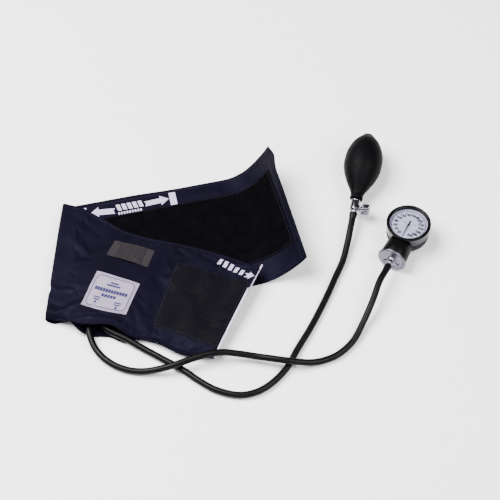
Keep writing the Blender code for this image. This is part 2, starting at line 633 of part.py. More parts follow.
def build_neck_fittings(frame, nickel, rubber):
    """Gasket, round end cap with its hub, hose nipple and the hose's sleeve."""
    near, far, inner, outer = NECK_END - GAP, NECK_END - 1, NECK_BORE + 0.2, NECK_END_RADIUS - GAP
    gasket = [(near, inner), (near, outer), (far, outer), (far, inner)]
    add_object("capsule_gasket", shift(turned(gasket, "Y", 28, True), (0, 0, NECK_AXIS)), rubber, frame)
    rim = far - GAP
    cap = [(rim + 2.4, 1.4), (rim + 2.4, 12.2), (rim, 12.2), (rim, 15.8), (rim - 0.5, CAP_RADIUS),
           (CAP_FACE + 1.0, CAP_RADIUS), (CAP_FACE, CAP_RADIUS - 1.2), (CAP_FACE, 4.2),
           (CAP_FACE - 2.2, 3.6), (CAP_FACE - 2.2, 1.4)]
    cap_obj = add_object("capsule_cap", shift(turned(cap, "Y", 28, True), (0, 0, NECK_AXIS)), nickel, frame)
    slots = bmesh.new()
    for turn in (30, 150, 270):
        place = Matrix.Translation((0, CAP_FACE, NECK_AXIS)) @ Matrix.Rotation(math.radians(turn), 4, "Y")
        size = Matrix.Diagonal((4.4, 1.6, 1.1, 1))
        bmesh.ops.create_cube(slots, size=1.0, matrix=place @ Matrix.Translation((8.4, 0, 0)) @ size)
    add_boolean(cap_obj, slots, "DIFFERENCE", frame, "cap_slot_cutter")
    root = CAP_FACE - 2.2 - GAP
    nipple = [(root, 0.9), (root, 2.6), (SLEEVE_START - 0.4, NIPPLE_RADIUS), (-55.5, 2.0), (-55.8, 2.5),
              (-58.0, 2.0), (-58.3, 2.5), (NIPPLE_TIP, 1.7), (NIPPLE_TIP, 0.9)]
    add_object("hose_nipple", shift(turned(nipple, "Y", 14, True), (0, 0, NECK_AXIS)), nickel, frame)
    sleeve = [(SLEEVE_START, 2.9), (SLEEVE_START, 3.9), (SLEEVE_END, HOSE_RADIUS), (SLEEVE_END, 2.9)]
    add_object("gauge_hose_sleeve", shift(turned(sleeve, "Y", 16, True), (0, 0, NECK_AXIS)), rubber, frame)


def gear_outline(teeth, total, module, spread, offset_angle):
    """Corners of a run of straight-sided teeth out of a full wheel of total teeth."""
    root = module * (total / 2 - 1.1)
    tip = module * (total / 2 + 0.7)
    step = 2 * math.pi / total
    corners = []
    for k in range(teeth):
        middle = offset_angle + (k - (teeth - 1) / 2) * step
        for radius, side in ((root, -spread[0]), (tip, -spread[1]), (tip, spread[1]), (root, spread[0])):
            angle = middle + side * step
            corners.append((radius * math.cos(angle), radius * math.sin(angle)))
    return corners


PINION_RADIUS = MODULE * PINION_TEETH / 2
SHAFT_DISTANCE = PINION_RADIUS * (1 + GEAR_RATIO)
SECTOR_PLACE = SHAFT_DISTANCE * unit(SECTOR_SHAFT_ANGLE)
SECTOR_SWING = POINTER_SWEEP / GEAR_RATIO
LEVER_ARM = -SECTOR_PLACE.x     # the push pin's axis crosses the pointer's


def sector_solid():
    """Toothed sector, hub and the short lever that the push pin lifts, about the sector's shaft."""
    step = 2 * math.pi / (PINION_TEETH * GEAR_RATIO)
    mesh_line = math.radians(SECTOR_SHAFT_ANGLE + 180)
    # a tooth lies on the line of centres at rest, between two leaves of the pinion
    middle = mesh_line - round(math.radians(SECTOR_SWING / 2) / step) * step
    teeth = gear_outline(SECTOR_TEETH, PINION_TEETH * GEAR_RATIO, MODULE, (0.2, 0.11), middle)
    lever = math.radians(-SECTOR_SWING / 2)
    knob = (LEVER_ARM * math.cos(lever), LEVER_ARM * math.sin(lever))
    tip = []
    for angle in (-1.5, -0.7, 0, 0.7, 1.5):
        turn = lever + angle
        tip.append((knob[0] + LEVER_KNOB * math.cos(turn), knob[1] + LEVER_KNOB * math.sin(turn)))
    half = SECTOR_TEETH / 2 * step
    start, end = middle + half, 2 * math.pi + lever - LEVER_ROOT
    turns = [lerp(start, end, k / 7) for k in range(8)]
    back = [(SECTOR_HUB * math.cos(a), SECTOR_HUB * math.sin(a)) for a in turns]
    turns_after = (lever + LEVER_ROOT, middle - half)
    front = [(SECTOR_HUB * math.cos(a), SECTOR_HUB * math.sin(a)) for a in turns_after]
    outline = teeth + back + tip + front
    return plate(outline, [circle(SHAFT_HOLE, count=10)], NECK_AXIS - 0.5, NECK_AXIS + 0.5)


def arbor_solid():
    """Pointer's arbor with its eight-leaf pinion."""
    foot, shoulder, top = PLATE_LEVELS[0][0] - 0.8, DIAL_HEIGHT + 0.9, DIAL_HEIGHT + 2.0
    shaft = [(foot, 0), (foot, ARBOR_RADIUS), (shoulder, ARBOR_RADIUS), (shoulder, ARBOR_TIP_RADIUS),
             (top, ARBOR_TIP_RADIUS), (top, 0)]
    return turned(shaft, segments=10)


def build_movement(frame, brass, steel):
    """Plates, pillars, sector, pinion, hairspring, capsule and push pin."""
    holes = [circle(ARBOR_HOLE, count=10), circle(SHAFT_HOLE, SECTOR_PLACE, 10)]
    for name, (low, high) in zip(("movement_plate_lower", "movement_plate_upper"), PLATE_LEVELS):
        add_object(name, plate(PLATE_OUTLINE, holes, low, high), brass, frame)
    low, high = PLATE_LEVELS[0][1] + GAP, PLATE_LEVELS[1][0] - GAP
    head = PLATE_LEVELS[1][1] + GAP
    for n, (x, y) in enumerate(PILLARS, 1):
        pillar = turned([(low, 0), (low, PILLAR_RADIUS), (high, PILLAR_RADIUS), (high, 0)], segments=10)
        add_object(f"movement_pillar_{n}", pillar, brass, frame, (x, y, 0))
        screw = [(head, 0), (head, 1.5), (head + 0.8, 1.5), (head + 1.0, 1.1), (head + 1.0, 0)]
        add_object(f"plate_screw_{n}", turned(screw, segments=10), steel, frame, (x, y, 0))
    add_object("sector_gear", sector_solid(), brass, frame, (*SECTOR_PLACE, 0))
    low, high = PLATE_LEVELS[0][0] - 0.6, PLATE_LEVELS[1][1] + 0.6
    shaft = turned([(low, 0), (low, SHAFT_RADIUS), (high, SHAFT_RADIUS), (high, 0)], segments=10)
    add_object("sector_shaft", shaft, steel, frame, (*SECTOR_PLACE, 0))
    arbor = add_object("pointer_arbor", arbor_solid(), steel, frame)
    toward_shaft = math.radians(SECTOR_SHAFT_ANGLE)
    leaves = gear_outline(PINION_TEETH, PINION_TEETH, MODULE, (0.18, 0.1), toward_shaft)
    add_boolean(arbor, plate(leaves, [], NECK_AXIS - 0.9, NECK_AXIS + 0.9), "UNION", frame, "pinion_leaves")
    add_object("hairspring", hairspring_solid(), steel, frame)
    capsule = turned(capsule_profile(), "Y", 24, True)
    add_object("pressure_capsule", shift(capsule, (0, 0, NECK_AXIS)), brass, frame)
    lever_drop = LEVER_ARM * math.sin(math.radians(SECTOR_SWING / 2))
    tip = SECTOR_PLACE.y - lever_drop - LEVER_KNOB - PIN_SLACK
    length = tip - CAPSULE_NOSE - GAP
    pin = turned([(0, 0), (0, PIN_RADIUS), (-length, PIN_RADIUS), (-length, 0)], "Y", 10)
    add_object("push_pin", pin, steel, frame, (0, tip, NECK_AXIS))


def capsule_profile():
    """Thin corrugated shell, open at the stem that meets the end cap: (station, radius) points."""
    outside = [(CAPSULE_NOSE, 0.4), (CAPSULE_NOSE, 2.2), (-27.2, 2.2), (-27.2, 5.0), (-26.6, 7.0),
               (-27.6, 9.0), (-28.6, 11.6), (-34.0, 11.6), (-35.4, 9.0), (-34.6, 7.0), (-35.6, 5.0),
               (-35.6, 2.6), (CAPSULE_STEM, 2.6)]
    inside = [(CAPSULE_STEM, 1.2), (-34.8, 1.2), (-34.8, 5.2), (-33.8, 7.0), (-34.6, 9.0), (-33.2, 10.8),
              (-29.4, 10.8), (-28.4, 9.0), (-27.4, 7.0), (-28.0, 5.0), (-28.0, 0.4)]
    return outside + inside


def hairspring_solid():
    """Flat spiral around the arbor."""
    bm = bmesh.new()
    per_turn = 14
    low, high = SPRING_LEVELS
    rings = []
    for k in range(SPRING_TURNS * per_turn + 1):
        angle = 2 * math.pi * k / per_turn
        middle = SPRING_START + SPRING_PITCH * k / per_turn
        inner, outer = middle - SPRING_HALF_WIDTH, middle + SPRING_HALF_WIDTH
        ring = []
        for radius, z in ((inner, low), (outer, low), (outer, high), (inner, high)):
            ring.append(bm.verts.new((radius * math.cos(angle), radius * math.sin(angle), z)))
        rings.append(ring)
    for a, b in zip(rings, rings[1:]):
        for k in range(4):
            bm.faces.new((a[k], a[(k + 1) % 4], b[(k + 1) % 4], b[k]))
    bm.faces.new(rings[0])
    bm.faces.new(rings[-1])
    return bm


def build_back(frame, steel):
    """Screws through the case's back and the spring clip that slides into the cuff's strap."""
    head, under, top = CASE_BACK - 1.2, CASE_BACK - GAP, PLATE_LEVELS[0][0] - GAP
    outline = [(head, 0), (head, 2.2), (under, 2.2), (under, 1.0), (top, 1.0), (top, 0)]
    for n, (x, y) in enumerate(BACK_SCREWS, 1):
        add_object(f"back_screw_{n}", turned(outline, segments=12), steel, frame, (x, y, 0))
    side = [(-16.0, 1.3), (13.5, 1.3), (14.4, 1.6), (14.8, 2.3), (14.4, 3.0), (13.5, under),
            (5.0, under), (5.0, 2.4), (13.2, 2.2), (13.2, 2.0), (-16.0, 2.0)]
    clip = plate(side, [], -CLIP_HALF_WIDTH, CLIP_HALF_WIDTH)
    stand_up = Matrix(((0, 0, 1, 0), (1, 0, 0, 0), (0, 1, 0, 0), (0, 0, 0, 1)))
    bmesh.ops.transform(clip, matrix=stand_up, verts=clip.verts)
    add_object("cuff_clip", clip, steel, frame)


# ---------------------------------------------------------------- inflation bulb

def build_bulb():
    """Rubber bulb with its intake valve, and the release valve with its screw."""
    frame = add_empty("bulb_frame", BULB_PLACE, BULB_TURN, BULB_TILT)
    rubber = material("bulb_rubber", (0.014, 0.014, 0.016), 0.55)
    chrome = material("valve_chrome", (0.7, 0.7, 0.74), 0.14, 1.0)
    steel = material("valve_steel", (0.5, 0.5, 0.52), 0.3, 1.0)

    outer = list(BULB_OUTLINE)
    inner = [(y, max(r - BULB_WALL, 4.1)) for y, r in reversed(outer)]
    add_object("inflation_bulb", turned(outer + inner, "Y", 24, True), rubber, frame)
    build_intake(frame, rubber, steel)
    build_release_valve(frame, chrome, steel, rubber)


def build_intake(frame, rubber, steel):
    """Intake valve in the far end: a bored hard rubber plug with a ball that air pushes off its seat."""
    lip = BULB_OUTLINE[-1][0]
    plug = [(lip + GAP, 3.8), (lip + GAP, 5.8), (lip + 1.5, 5.8), (lip + 2.1, 5.2), (lip + 2.1, 1.1),
            (lip - 1.4, 1.1), (lip - 2.6, 2.1), (lip - 7.6, 2.1), (lip - 7.6, 0.9), (lip - 8.6, 0.9),
            (lip - 8.6, 3.8)]
    add_object("intake_valve_body", turned(plug, "Y", 18, True), rubber, frame)
    ball = turned(ball_profile(BALL_RADIUS), "Y", 12)
    add_object("intake_valve_ball", ball, steel, frame, (0, lip - 4.4, 0))


def ball_profile(radius, bands=6):
    """Half outline of a ball."""
    turns = [math.pi * k / bands for k in range(1, bands)]
    between = [(-radius * math.cos(a), radius * math.sin(a)) for a in turns]
    return [(-radius, 0), *between, (radius, 0)]


def build_release_valve(frame, chrome, steel, rubber):
    """Valve body with its check ball, needle, seal and knurled knob."""
    lip = BULB_OUTLINE[0][0]
    body = [(lip + 6.0, 1.1), (lip + 6.0, 3.8), (lip - GAP, 3.8), (lip - GAP, VALVE_RADIUS - 0.3),
            (lip - 1.0, VALVE_RADIUS), (VALVE_END + 0.6, VALVE_RADIUS), (VALVE_END, VALVE_RADIUS - 0.6),
            (VALVE_END - 1.6, 3.0), (BULB_SLEEVE[0] + 0.4, 2.6), (-66.0, 2.3), (-66.3, 2.7), (-69.0, 2.2),
            (-69.3, 2.7), (BARB_TIP, 1.9), (BARB_TIP, 1.0), (-51.6, 1.0), (-50.6, 2.1), (-45.6, 2.1),
            (-45.6, 1.1)]
    valve = add_object("release_valve_body", turned(body, "Y", 24, True), chrome, frame)
    bore = turned([(0.2, 0), (0.2, NEEDLE_HOLE), (3.2, NEEDLE_HOLE), (3.2, SEAL_ROOM), (6.5, SEAL_ROOM),
                   (6.5, 0)], "X", 14)
    add_boolean(valve, shift(bore, (0, SCREW_STATION, 0)), "DIFFERENCE", frame, "screw_bore_cutter")
    ball = turned(ball_profile(BALL_RADIUS), "Y", 12)
    add_object("outlet_check_ball", ball, steel, frame, (0, CHECK_BALL_STATION, 0))
    rim = SEAL_ROOM - GAP
    seal = turned([(3.5, NEEDLE_HOLE), (3.5, rim), (4.7, rim), (4.7, NEEDLE_HOLE)], "X", 14, True)
    add_object("needle_seal", seal, rubber, frame, (0, SCREW_STATION, 0))
    head = KNOB_START + 3.4
    needle = [(0.7, 0), (2.6, NEEDLE_RADIUS), (head, NEEDLE_RADIUS), (head, 0)]
    add_object("valve_needle", turned(needle, "X", 14), steel, frame, (0, SCREW_STATION, 0))
    near, far = VALVE_RADIUS + GAP, KNOB_START - GAP
    bonnet = [(near, NEEDLE_HOLE), (near, 3.2), (far, 2.8), (far, NEEDLE_HOLE)]
    add_object("valve_bonnet", turned(bonnet, "X", 14, True), chrome, frame, (0, SCREW_STATION, 0))
    add_object("release_knob", knob_solid(), chrome, frame, (0, SCREW_STATION, 0))
    start, end = BULB_SLEEVE
    sleeve = [(start, 3.1), (start, 4.5), (start - 3.0, 4.4), (end, HOSE_RADIUS), (end, 3.1)]
    add_object("bulb_hose_sleeve", turned(sleeve, "Y", 16, True), rubber, frame)


def knob_solid():
    """Fluted knob with a blind hole for the needle, about the screw's axis."""
    bm = bmesh.new()
    end = KNOB_START + KNOB_LENGTH
    stations = ((KNOB_START + 3.8, NEEDLE_HOLE, 0), (KNOB_START, NEEDLE_HOLE, 0),
                (KNOB_START, KNOB_RADIUS * 0.78, 0), (KNOB_START + 0.9, KNOB_RADIUS, FLUTE_DEPTH),
                (end - 0.9, KNOB_RADIUS, FLUTE_DEPTH), (end, KNOB_RADIUS * 0.84, 0))
    count = KNOB_FLUTES * 2
    chain = []
    for x, outer, depth in stations:
        ring = []
        for k in range(count):
            radius = outer - depth * (k % 2)
            angle = 2 * math.pi * k / count
            ring.append(bm.verts.new((x, radius * math.cos(angle), radius * math.sin(angle))))
        chain.append(ring)
    for low, high in zip(chain, chain[1:]):
        for k in range(count):
            n = (k + 1) % count
            bm.faces.new((low[k], low[n], high[n], high[k]))
    bm.faces.new(chain[0])
    bm.faces.new(chain[-1])
    return bm


clear_scene()
build_cuff()
build_hoses()
build_gauge()
build_bulb()
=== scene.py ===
"""Looks of the folded blood pressure cuff with its hoses, bulb and gauge.

Sizes are in millimetres in the row frame; meshes are scaled to metres when they are made.
"""
import json
import math

import bmesh
import bpy
from mathutils import Matrix, Vector, noise
from mathutils.bvhtree import BVHTree

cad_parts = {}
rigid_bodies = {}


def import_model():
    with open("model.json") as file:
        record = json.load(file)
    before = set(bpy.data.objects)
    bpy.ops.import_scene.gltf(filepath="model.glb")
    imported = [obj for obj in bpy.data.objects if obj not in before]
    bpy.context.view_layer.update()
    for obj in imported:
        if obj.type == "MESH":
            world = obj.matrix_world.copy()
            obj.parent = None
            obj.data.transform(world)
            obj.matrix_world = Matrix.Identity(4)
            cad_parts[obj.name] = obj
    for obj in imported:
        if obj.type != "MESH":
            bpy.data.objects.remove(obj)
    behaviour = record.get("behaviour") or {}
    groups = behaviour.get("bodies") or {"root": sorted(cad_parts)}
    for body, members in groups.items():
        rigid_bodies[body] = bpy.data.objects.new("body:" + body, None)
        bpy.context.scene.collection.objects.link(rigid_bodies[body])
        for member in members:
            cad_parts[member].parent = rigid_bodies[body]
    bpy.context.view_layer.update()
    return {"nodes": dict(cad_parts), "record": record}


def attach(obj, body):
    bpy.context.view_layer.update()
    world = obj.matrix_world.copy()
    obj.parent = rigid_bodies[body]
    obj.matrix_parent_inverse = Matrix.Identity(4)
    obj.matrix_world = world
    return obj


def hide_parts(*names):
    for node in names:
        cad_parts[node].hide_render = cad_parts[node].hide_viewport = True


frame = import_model()

MM = 0.001
SHARP_ANGLE = math.radians(40)
ROOT = "cuff_set"
LAYOUT_CENTRE = Vector((-0.45, -3.82, 0.0))

# Camera: long lens, 56 degrees above the table, level with the table's X axis
VIEW_ANGLE = 56.0
VIEW_DISTANCE = 2400.0
VIEW_TARGET = Vector((10.55, -15.86, 30.5))
VIEW_WIDTH = 546.4
SENSOR_WIDTH = 36.0

# Studio, in metres and watts: name, place, size and power of each lamp
LAMPS = (("key", (-1.0, 0.2, 1.8), 1.4, 185), ("fill", (1.2, -0.6, 1.7), 1.2, 72),
         ("front", (-0.2, -1.9, 1.0), 1.0, 12))
WORLD_STRENGTH = 0.09
FLOOR_SIZE, FLOOR_DROP = 6.0, 0.0004

# Cuff, as in the CAD: one strip folded once along a slanting line
FOLD_TOP, FOLD_BOTTOM = Vector((-199.0, 57.0)), Vector((-210.5, -98.3))
TAIL_ANGLE = 12.9
TAIL_BOTTOM, TAIL_TOP = -48.8, 100.1
TAIL_END_BOTTOM, TAIL_END_TOP = 62.7, 53.7
CURL_START, CURL_BOTTOM, CURL_TOP, CURL_POWER = -2.0, 0.00165, 0.00296, 2.4
FOLD_DEPTH = 9.0
FOLD_SHIFT = (Vector((-1.2, 5.0)), Vector((-0.6, 1.8)))     # how far the turn's two ends lie from the CAD's
LEG_BOTTOM_LINE = ((-160.1, -167.8), (27.0, -149.0))
LEG_TOP_LINE = ((-206.1, -19.6), (33.0, -17.0))
BOTTOM_WAVE = ((-160, 0), (-138, 2.3), (-112, 1.8), (-88, 8.4), (-62, 4.8), (-40, 2.6), (-10, -3.3), (27, 0))
TOP_WAVE = ((-206, 0), (-184, 0.4), (-160, -2.9), (-128, -7.2), (-95, -5.6), (-57, -2), (-10, -1.5), (33, 0))
BOTTOM_HEIGHT = ((-160, 8.6), (-142, 12), (-124, 17.5), (-98, 18), (-80, 14.5), (-58, 9.5), (-30, 8),
                 (27, 8))
TOP_HEIGHT = ((-206, 8.6), (-184, 9), (-160, 8.2), (-128, 7), (-95, 7), (-57, 9), (-10, 12), (14, 13.5),
              (33, 20))
# How the visible cloth's edges depart from those
BOTTOM_TRIM = ((-160, 3.6), (-144, 3.4), (-134, 2.0), (-124, 0), (-112, 1.6), (-94, 1.2), (-78, -1.0),
               (-62, 0.4), (-48, 4.4), (-10, 4.4), (27, 4.6))
TOP_TRIM = ((-206, 2.4), (-180, 2.2), (-120, 0), (-8, 0), (10, -1.6), (26, -6.2), (33, -7.6))
CROWN = 5.0
STRIP_WIDTH = 3.0
# Corners of the sewn patches: bottom left, bottom right, top right, top left
HOOK_CORNERS = ((-50.2, -131.8), (25.2, -134.6), (29.2, -45.8), (-56.4, -48.2))
LABEL_CORNERS = ((-131.0, -139.8), (-80.4, -133.6), (-81.8, -92.4), (-131.6, -93.8))
LABEL_SIZE, LABEL_SAG = (50.0, 45.0), 3.2
STRAP_CORNERS = ((-131.4, -69.6), (-82.8, -68.8), (-84.8, -44.0), (-132.0, -45.8))
PILE_SIDE, PILE_START, PILE_MARGIN = (-21.0, 77.0), -150.0, 6.4

# Hoses, as in the CAD
HOSE_RADIUS = 3.75
HOSE_STEP = 3.0
GAUGE_HOSE_ROUTE = (
    (-165.3, -97.0, 8.6), (-164.2, -106.0, 8.4), (-162.3, -115.3, 7.2), (-157.6, -127.3, 5.4),
    (-150.1, -138.0, 4.3), (-140.4, -146.8, 3.9), (-128.4, -153.6, 3.9), (-115.2, -157.6, 4.1),
    (-101.5, -158.8, 5.3), (-87.0, -158.2, 8.8), (-70.1, -155.0, 12.4), (-51.0, -148.2, 14.2),
    (-34.0, -143.0, 14.9), (-18.0, -140.6, 14.4), (0.5, -140.9, 11.4), (17.0, -143.2, 10.4),
    (33.0, -146.6, 11.8), (49.3, -149.4, 12.2), (63.0, -149.6, 9.4), (76.0, -147.9, 5.6),
    (89.0, -144.5, 4.0), (105.4, -136.4, 3.9), (120.9, -120.7, 4.6), (132.2, -99.5, 8.2),
    (143.1, -75.1, 14.4))
BULB_HOSE_ROUTE = (
    (-153.4, -97.6, 8.6), (-149.2, -103.6, 8.4), (-140.0, -110.2, 7.4), (-124.9, -117.6, 6.2),
    (-104.2, -130.2, 4.6), (-81.4, -143.9, 3.9), (-63.0, -155.2, 3.9), (-43.4, -170.2, 3.9),
    (-24.8, -181.4, 3.9), (-1.4, -187.2, 3.9), (17.2, -183.4, 3.9), (33.4, -172.6, 3.9), (49.0, -154.4, 3.9),
    (61.0, -130.5, 3.9), (76.0, -102.5, 3.9), (91.9, -67.7, 3.9), (104.2, -37.4, 4.2), (112.6, -16.5, 5.4),
    (118.4, 6.5, 8.6))
GAP = 0.3

# Fittings, in the gauge's and the bulb's own axes
NECK_AXIS, POINTER_LEVEL = 14.6, 20.0
SCREW_STATION, SCREW_LEVEL = -56.0, 12.0
# Hose ends stretched over the barbs: (station, radius) outlines
GAUGE_SLEEVE = ((-52.5, 2.9), (-52.5, 3.6), (-53.0, 3.95), (-55.8, 4.05), (-58.3, 3.95), (-60.0, 3.8),
                (-61.8, HOSE_RADIUS), (-61.8, 2.9))
BULB_SLEEVE = ((-62.4, 3.1), (-62.4, 4.2), (-63.0, 4.65), (-65.0, 4.5), (-67.5, 4.15), (-69.5, 3.85),
               (-71.6, HOSE_RADIUS), (-71.6, 3.1))


# ----- materials

class Look:
    """A Principled material with a few short ways to add procedural detail."""

    def __init__(self, name, colour, roughness, metallic=0.0, **values):
        self.material = bpy.data.materials.new(name)
        self.material.use_nodes = True
        self.tree = self.material.node_tree
        self.shader = self.tree.nodes["Principled BSDF"]
        self.shader.inputs["Base Color"].default_value = (*colour, 1.0)
        self.shader.inputs["Roughness"].default_value = roughness
        self.shader.inputs["Metallic"].default_value = metallic
        for key, value in values.items():
            self.shader.inputs[key.replace("_", " ")].default_value = value
        self.colour = colour
        self.coords = self.node("ShaderNodeTexCoord").outputs["Object"]
        self.normal = None

    def node(self, kind, links=(), **values):
        """A node with its inputs set by name, and linked from (input, output) pairs."""
        made = self.tree.nodes.new(kind)
        for key, value in values.items():
            if key in ("operation", "wave_type", "bands_direction"):
                setattr(made, key, value)
            else:
                made.inputs[key.replace("_", " ")].default_value = value
        for name, output in links:
            self.tree.links.new(made.inputs[name], output)
        return made

    def turn_coords(self, angle):
        """Turn the pattern's axes about the vertical."""
        self.map_coords(Rotation=(0, 0, -math.radians(angle)))

    def map_coords(self, **values):
        """Turn or stretch the pattern's axes."""
        self.coords = self.node("ShaderNodeMapping", [("Vector", self.coords)], **values).outputs["Vector"]

    def noise(self, size, detail=3.0):
        """Noise whose grains are about size millimetres across."""
        made = self.node("ShaderNodeTexNoise", [("Vector", self.coords)], Scale=1 / (size * MM),
                         Detail=detail)
        return made.outputs["Fac"]

    def bands(self, period, direction):
        """Parallel bands, period in millimetres."""
        made = self.node("ShaderNodeTexWave", [("Vector", self.coords)], wave_type="BANDS",
                         bands_direction=direction, Scale=math.pi / 10 / (period * MM), Distortion=0.0)
        return made.outputs["Fac"]

    def math(self, operation, a, b):
        """Arithmetic on two values."""
        made = self.node("ShaderNodeMath", operation=operation)
        for slot, value in enumerate((a, b)):
            if isinstance(value, (int, float)):
                made.inputs[slot].default_value = value
            else:
                self.tree.links.new(made.inputs[slot], value)
        return made.outputs[0]

    def weighted(self, a, a_share, b, b_share):
        """Sum of two values, each times its share."""
        return self.math("ADD", self.math("MULTIPLY", a, a_share), self.math("MULTIPLY", b, b_share))

    def ramp(self, value, low, high, start=0.35, end=0.65):
        """Colour that goes from low to high as value goes from start to end."""
        made = self.node("ShaderNodeValToRGB", [("Fac", value)])
        made.color_ramp.elements[0].position = start
        made.color_ramp.elements[1].position = end
        made.color_ramp.elements[0].color = (*low, 1.0)
        made.color_ramp.elements[1].color = (*high, 1.0)
        return made.outputs["Color"]

    def vary(self, value, low, high, start=0.35, end=0.65):
        """Base colour varied between two factors of the plain colour."""
        colours = [tuple(c * factor for c in self.colour) for factor in (low, high)]
        self.tree.links.new(self.shader.inputs["Base Color"], self.ramp(value, *colours, start, end))

    def rough(self, value, low, high):
        """Roughness between low and high, by value."""
        made = self.node("ShaderNodeMapRange", [("Value", value)], From_Min=0.3, From_Max=0.7, To_Min=low,
                         To_Max=high)
        self.tree.links.new(self.shader.inputs["Roughness"], made.outputs["Result"])

    def bump(self, value, depth, strength=1.0):
        """Raise the surface by up to depth millimetres; later calls add to earlier ones."""
        made = self.node("ShaderNodeBump", [("Height", value)], Strength=strength, Distance=depth * MM)
        if self.normal is not None:
            self.tree.links.new(made.inputs["Normal"], self.normal)
        self.normal = made.outputs["Normal"]
        self.tree.links.new(self.shader.inputs["Normal"], self.normal)


def nylon_look(name, colour, angle):
    """Coated nylon pack cloth: fine plain weave, cloudy colour and a soft sheen."""
    look = Look(name, colour, 0.5, Sheen_Weight=0.004, Sheen_Roughness=0.4, Specular_IOR_Level=0.045,
                Sheen_Tint=(0.45, 0.38, 1.0, 1.0), Specular_Tint=(0.62, 0.55, 1.0, 1.0))
    look.turn_coords(angle)
    weave = look.math("MULTIPLY", look.bands(0.55, "X"), look.bands(0.55, "Y"))
    clouds = look.noise(45, 4.0)
    grain = look.noise(0.6, 2.0)
    look.vary(look.weighted(clouds, 0.8, grain, 0.2), 0.8, 1.25)
    look.rough(look.noise(9), 0.46, 0.62)
    look.bump(clouds, 0.5, 0.5)
    look.bump(weave, 0.06, 0.7)
    return look.material


def pile_look():
    """Brushed loop pile: deep black, fuzzy, with a faint nap."""
    look = Look("loop_pile_fabric", (0.0007, 0.0006, 0.0011), 0.9, Sheen_Weight=0.003, Sheen_Roughness=0.6,
                Specular_IOR_Level=0.02)
    fuzz = look.noise(0.5, 6.0)
    nap = look.noise(12, 3.0)
    look.vary(look.math("MULTIPLY", fuzz, nap), 0.5, 1.7, 0.15, 0.4)
    look.bump(nap, 0.4, 0.4)
    look.bump(fuzz, 0.35, 0.8)
    return look.material


def hook_look(angle):
    """Hook tape: rows of tiny stiff hooks."""
    look = Look("hook_tape_nylon", (0.0011, 0.0010, 0.0023), 0.55, Sheen_Weight=0.003,
                Specular_IOR_Level=0.045)
    look.turn_coords(angle)
    rows = look.math("MULTIPLY", look.bands(2.4, "X"), look.bands(1.6, "Y"))
    look.vary(look.math("ADD", rows, look.math("MULTIPLY", look.noise(1.2), 0.5)), 0.6, 1.5, 0.2, 0.9)
    look.bump(rows, 0.35, 0.8)
    look.bump(look.noise(0.7), 0.2, 0.6)
    return look.material


def woven_look(name, colour, angle, period, depth, sheen=0.02):
    """Plain woven cloth or tape with visible yarns."""
    look = Look(name, colour, 0.75, Sheen_Weight=sheen, Sheen_Roughness=0.5, Specular_IOR_Level=0.12)
    look.turn_coords(angle)
    weave = look.math("MULTIPLY", look.bands(period, "X"), look.bands(period * 1.3, "Y"))
    look.vary(look.weighted(weave, 0.5, look.noise(6), 0.6), 0.78, 1.12, 0.2, 0.75)
    look.bump(weave, depth, 0.8)
    look.rough(look.noise(3), 0.68, 0.85)
    return look.material


def rubber_look(name, colour, low, high, grain=0.5, specular=0.3):
    """Moulded rubber: fine grain, cloudy colour and slightly uneven gloss."""
    look = Look(name, colour, low, Specular_IOR_Level=specular)
    fine, cloud = look.noise(grain, 3.0), look.noise(14, 4.0)
    look.vary(look.weighted(cloud, 0.7, fine, 0.3), 0.75, 1.5)
    look.rough(look.noise(5, 4.0), low, high)
    look.bump(fine, 0.04, 0.6)
    return look.material


def metal_look(name, colour, low, high, grain=1.2, stretch=None):
    """Plated or bright metal: faint smudges, fine grain and uneven polish."""
    look = Look(name, colour, low, 1.0)
    smudge = look.noise(7, 4.0)
    if stretch is not None:
        look.map_coords(Scale=stretch)
    fine = look.noise(grain, 5.0)
    look.vary(smudge, 0.86, 1.05)
    look.rough(look.weighted(smudge, 0.5, fine, 0.5), low, high)
    look.bump(fine, 0.012, 0.5)
    return look.material


def enamel_look(name, colour, roughness, specular=0.4, coat=0.15):
    """Painted metal or moulded plastic with slight orange peel."""
    look = Look(name, colour, roughness, Coat_Weight=coat, Coat_Roughness=0.2, Specular_IOR_Level=specular)
    look.vary(look.noise(8, 3.0), 0.9, 1.08)
    look.rough(look.noise(4, 3.0), roughness * 0.85, roughness * 1.2)
    look.bump(look.noise(0.9, 2.0), 0.015, 0.5)
    return look.material


def print_look(name, colour):
    """Flat ink, slightly patchy where the cloth's weave shows through."""
    look = Look(name, colour, 0.7, Specular_IOR_Level=0.2)
    look.vary(look.noise(0.9, 4.0), 0.82, 1.05, 0.3, 0.6)
    look.bump(look.noise(0.6), 0.03, 0.5)
    return look.material


def lens_look():
    """Clear flat lens: only its reflection shows."""
    look = Look("lens_clear", (0.02, 0.02, 0.025), 0.03, Specular_IOR_Level=0.5, Alpha=0.05)
    look.rough(look.noise(10), 0.02, 0.05)
    return look.material


LEG_TURN, TAIL_TURN = -21.4, TAIL_ANGLE
NAVY = (0.0021, 0.0017, 0.0047)
NYLON_LEG = nylon_look("navy_nylon", NAVY, LEG_TURN)
NYLON_TAIL = nylon_look("navy_nylon_inner", NAVY, TAIL_TURN)
PILE = pile_look()
HOOK_TAPE = hook_look(LEG_TURN)
LABEL_CLOTH = woven_look("label_cloth", (0.225, 0.19, 0.255), LEG_TURN, 0.5, 0.04, 0.01)
EDGE_TAPE = woven_look("white_edge_tape", (0.50, 0.46, 0.58), LEG_TURN, 0.8, 0.08, 0.05)
WEBBING = woven_look("grey_webbing", (0.0150, 0.0120, 0.0140), LEG_TURN, 0.9, 0.25, 0.01)
INK_WHITE = print_look("white_ink", (0.35, 0.32, 0.44))
INK_BLUE = print_look("blue_ink", (0.010, 0.010, 0.055))
INK_BLACK = print_look("black_ink", (0.0012, 0.0012, 0.003))
THREAD = woven_look("navy_thread", (0.014, 0.013, 0.030), LEG_TURN, 0.3, 0.05)
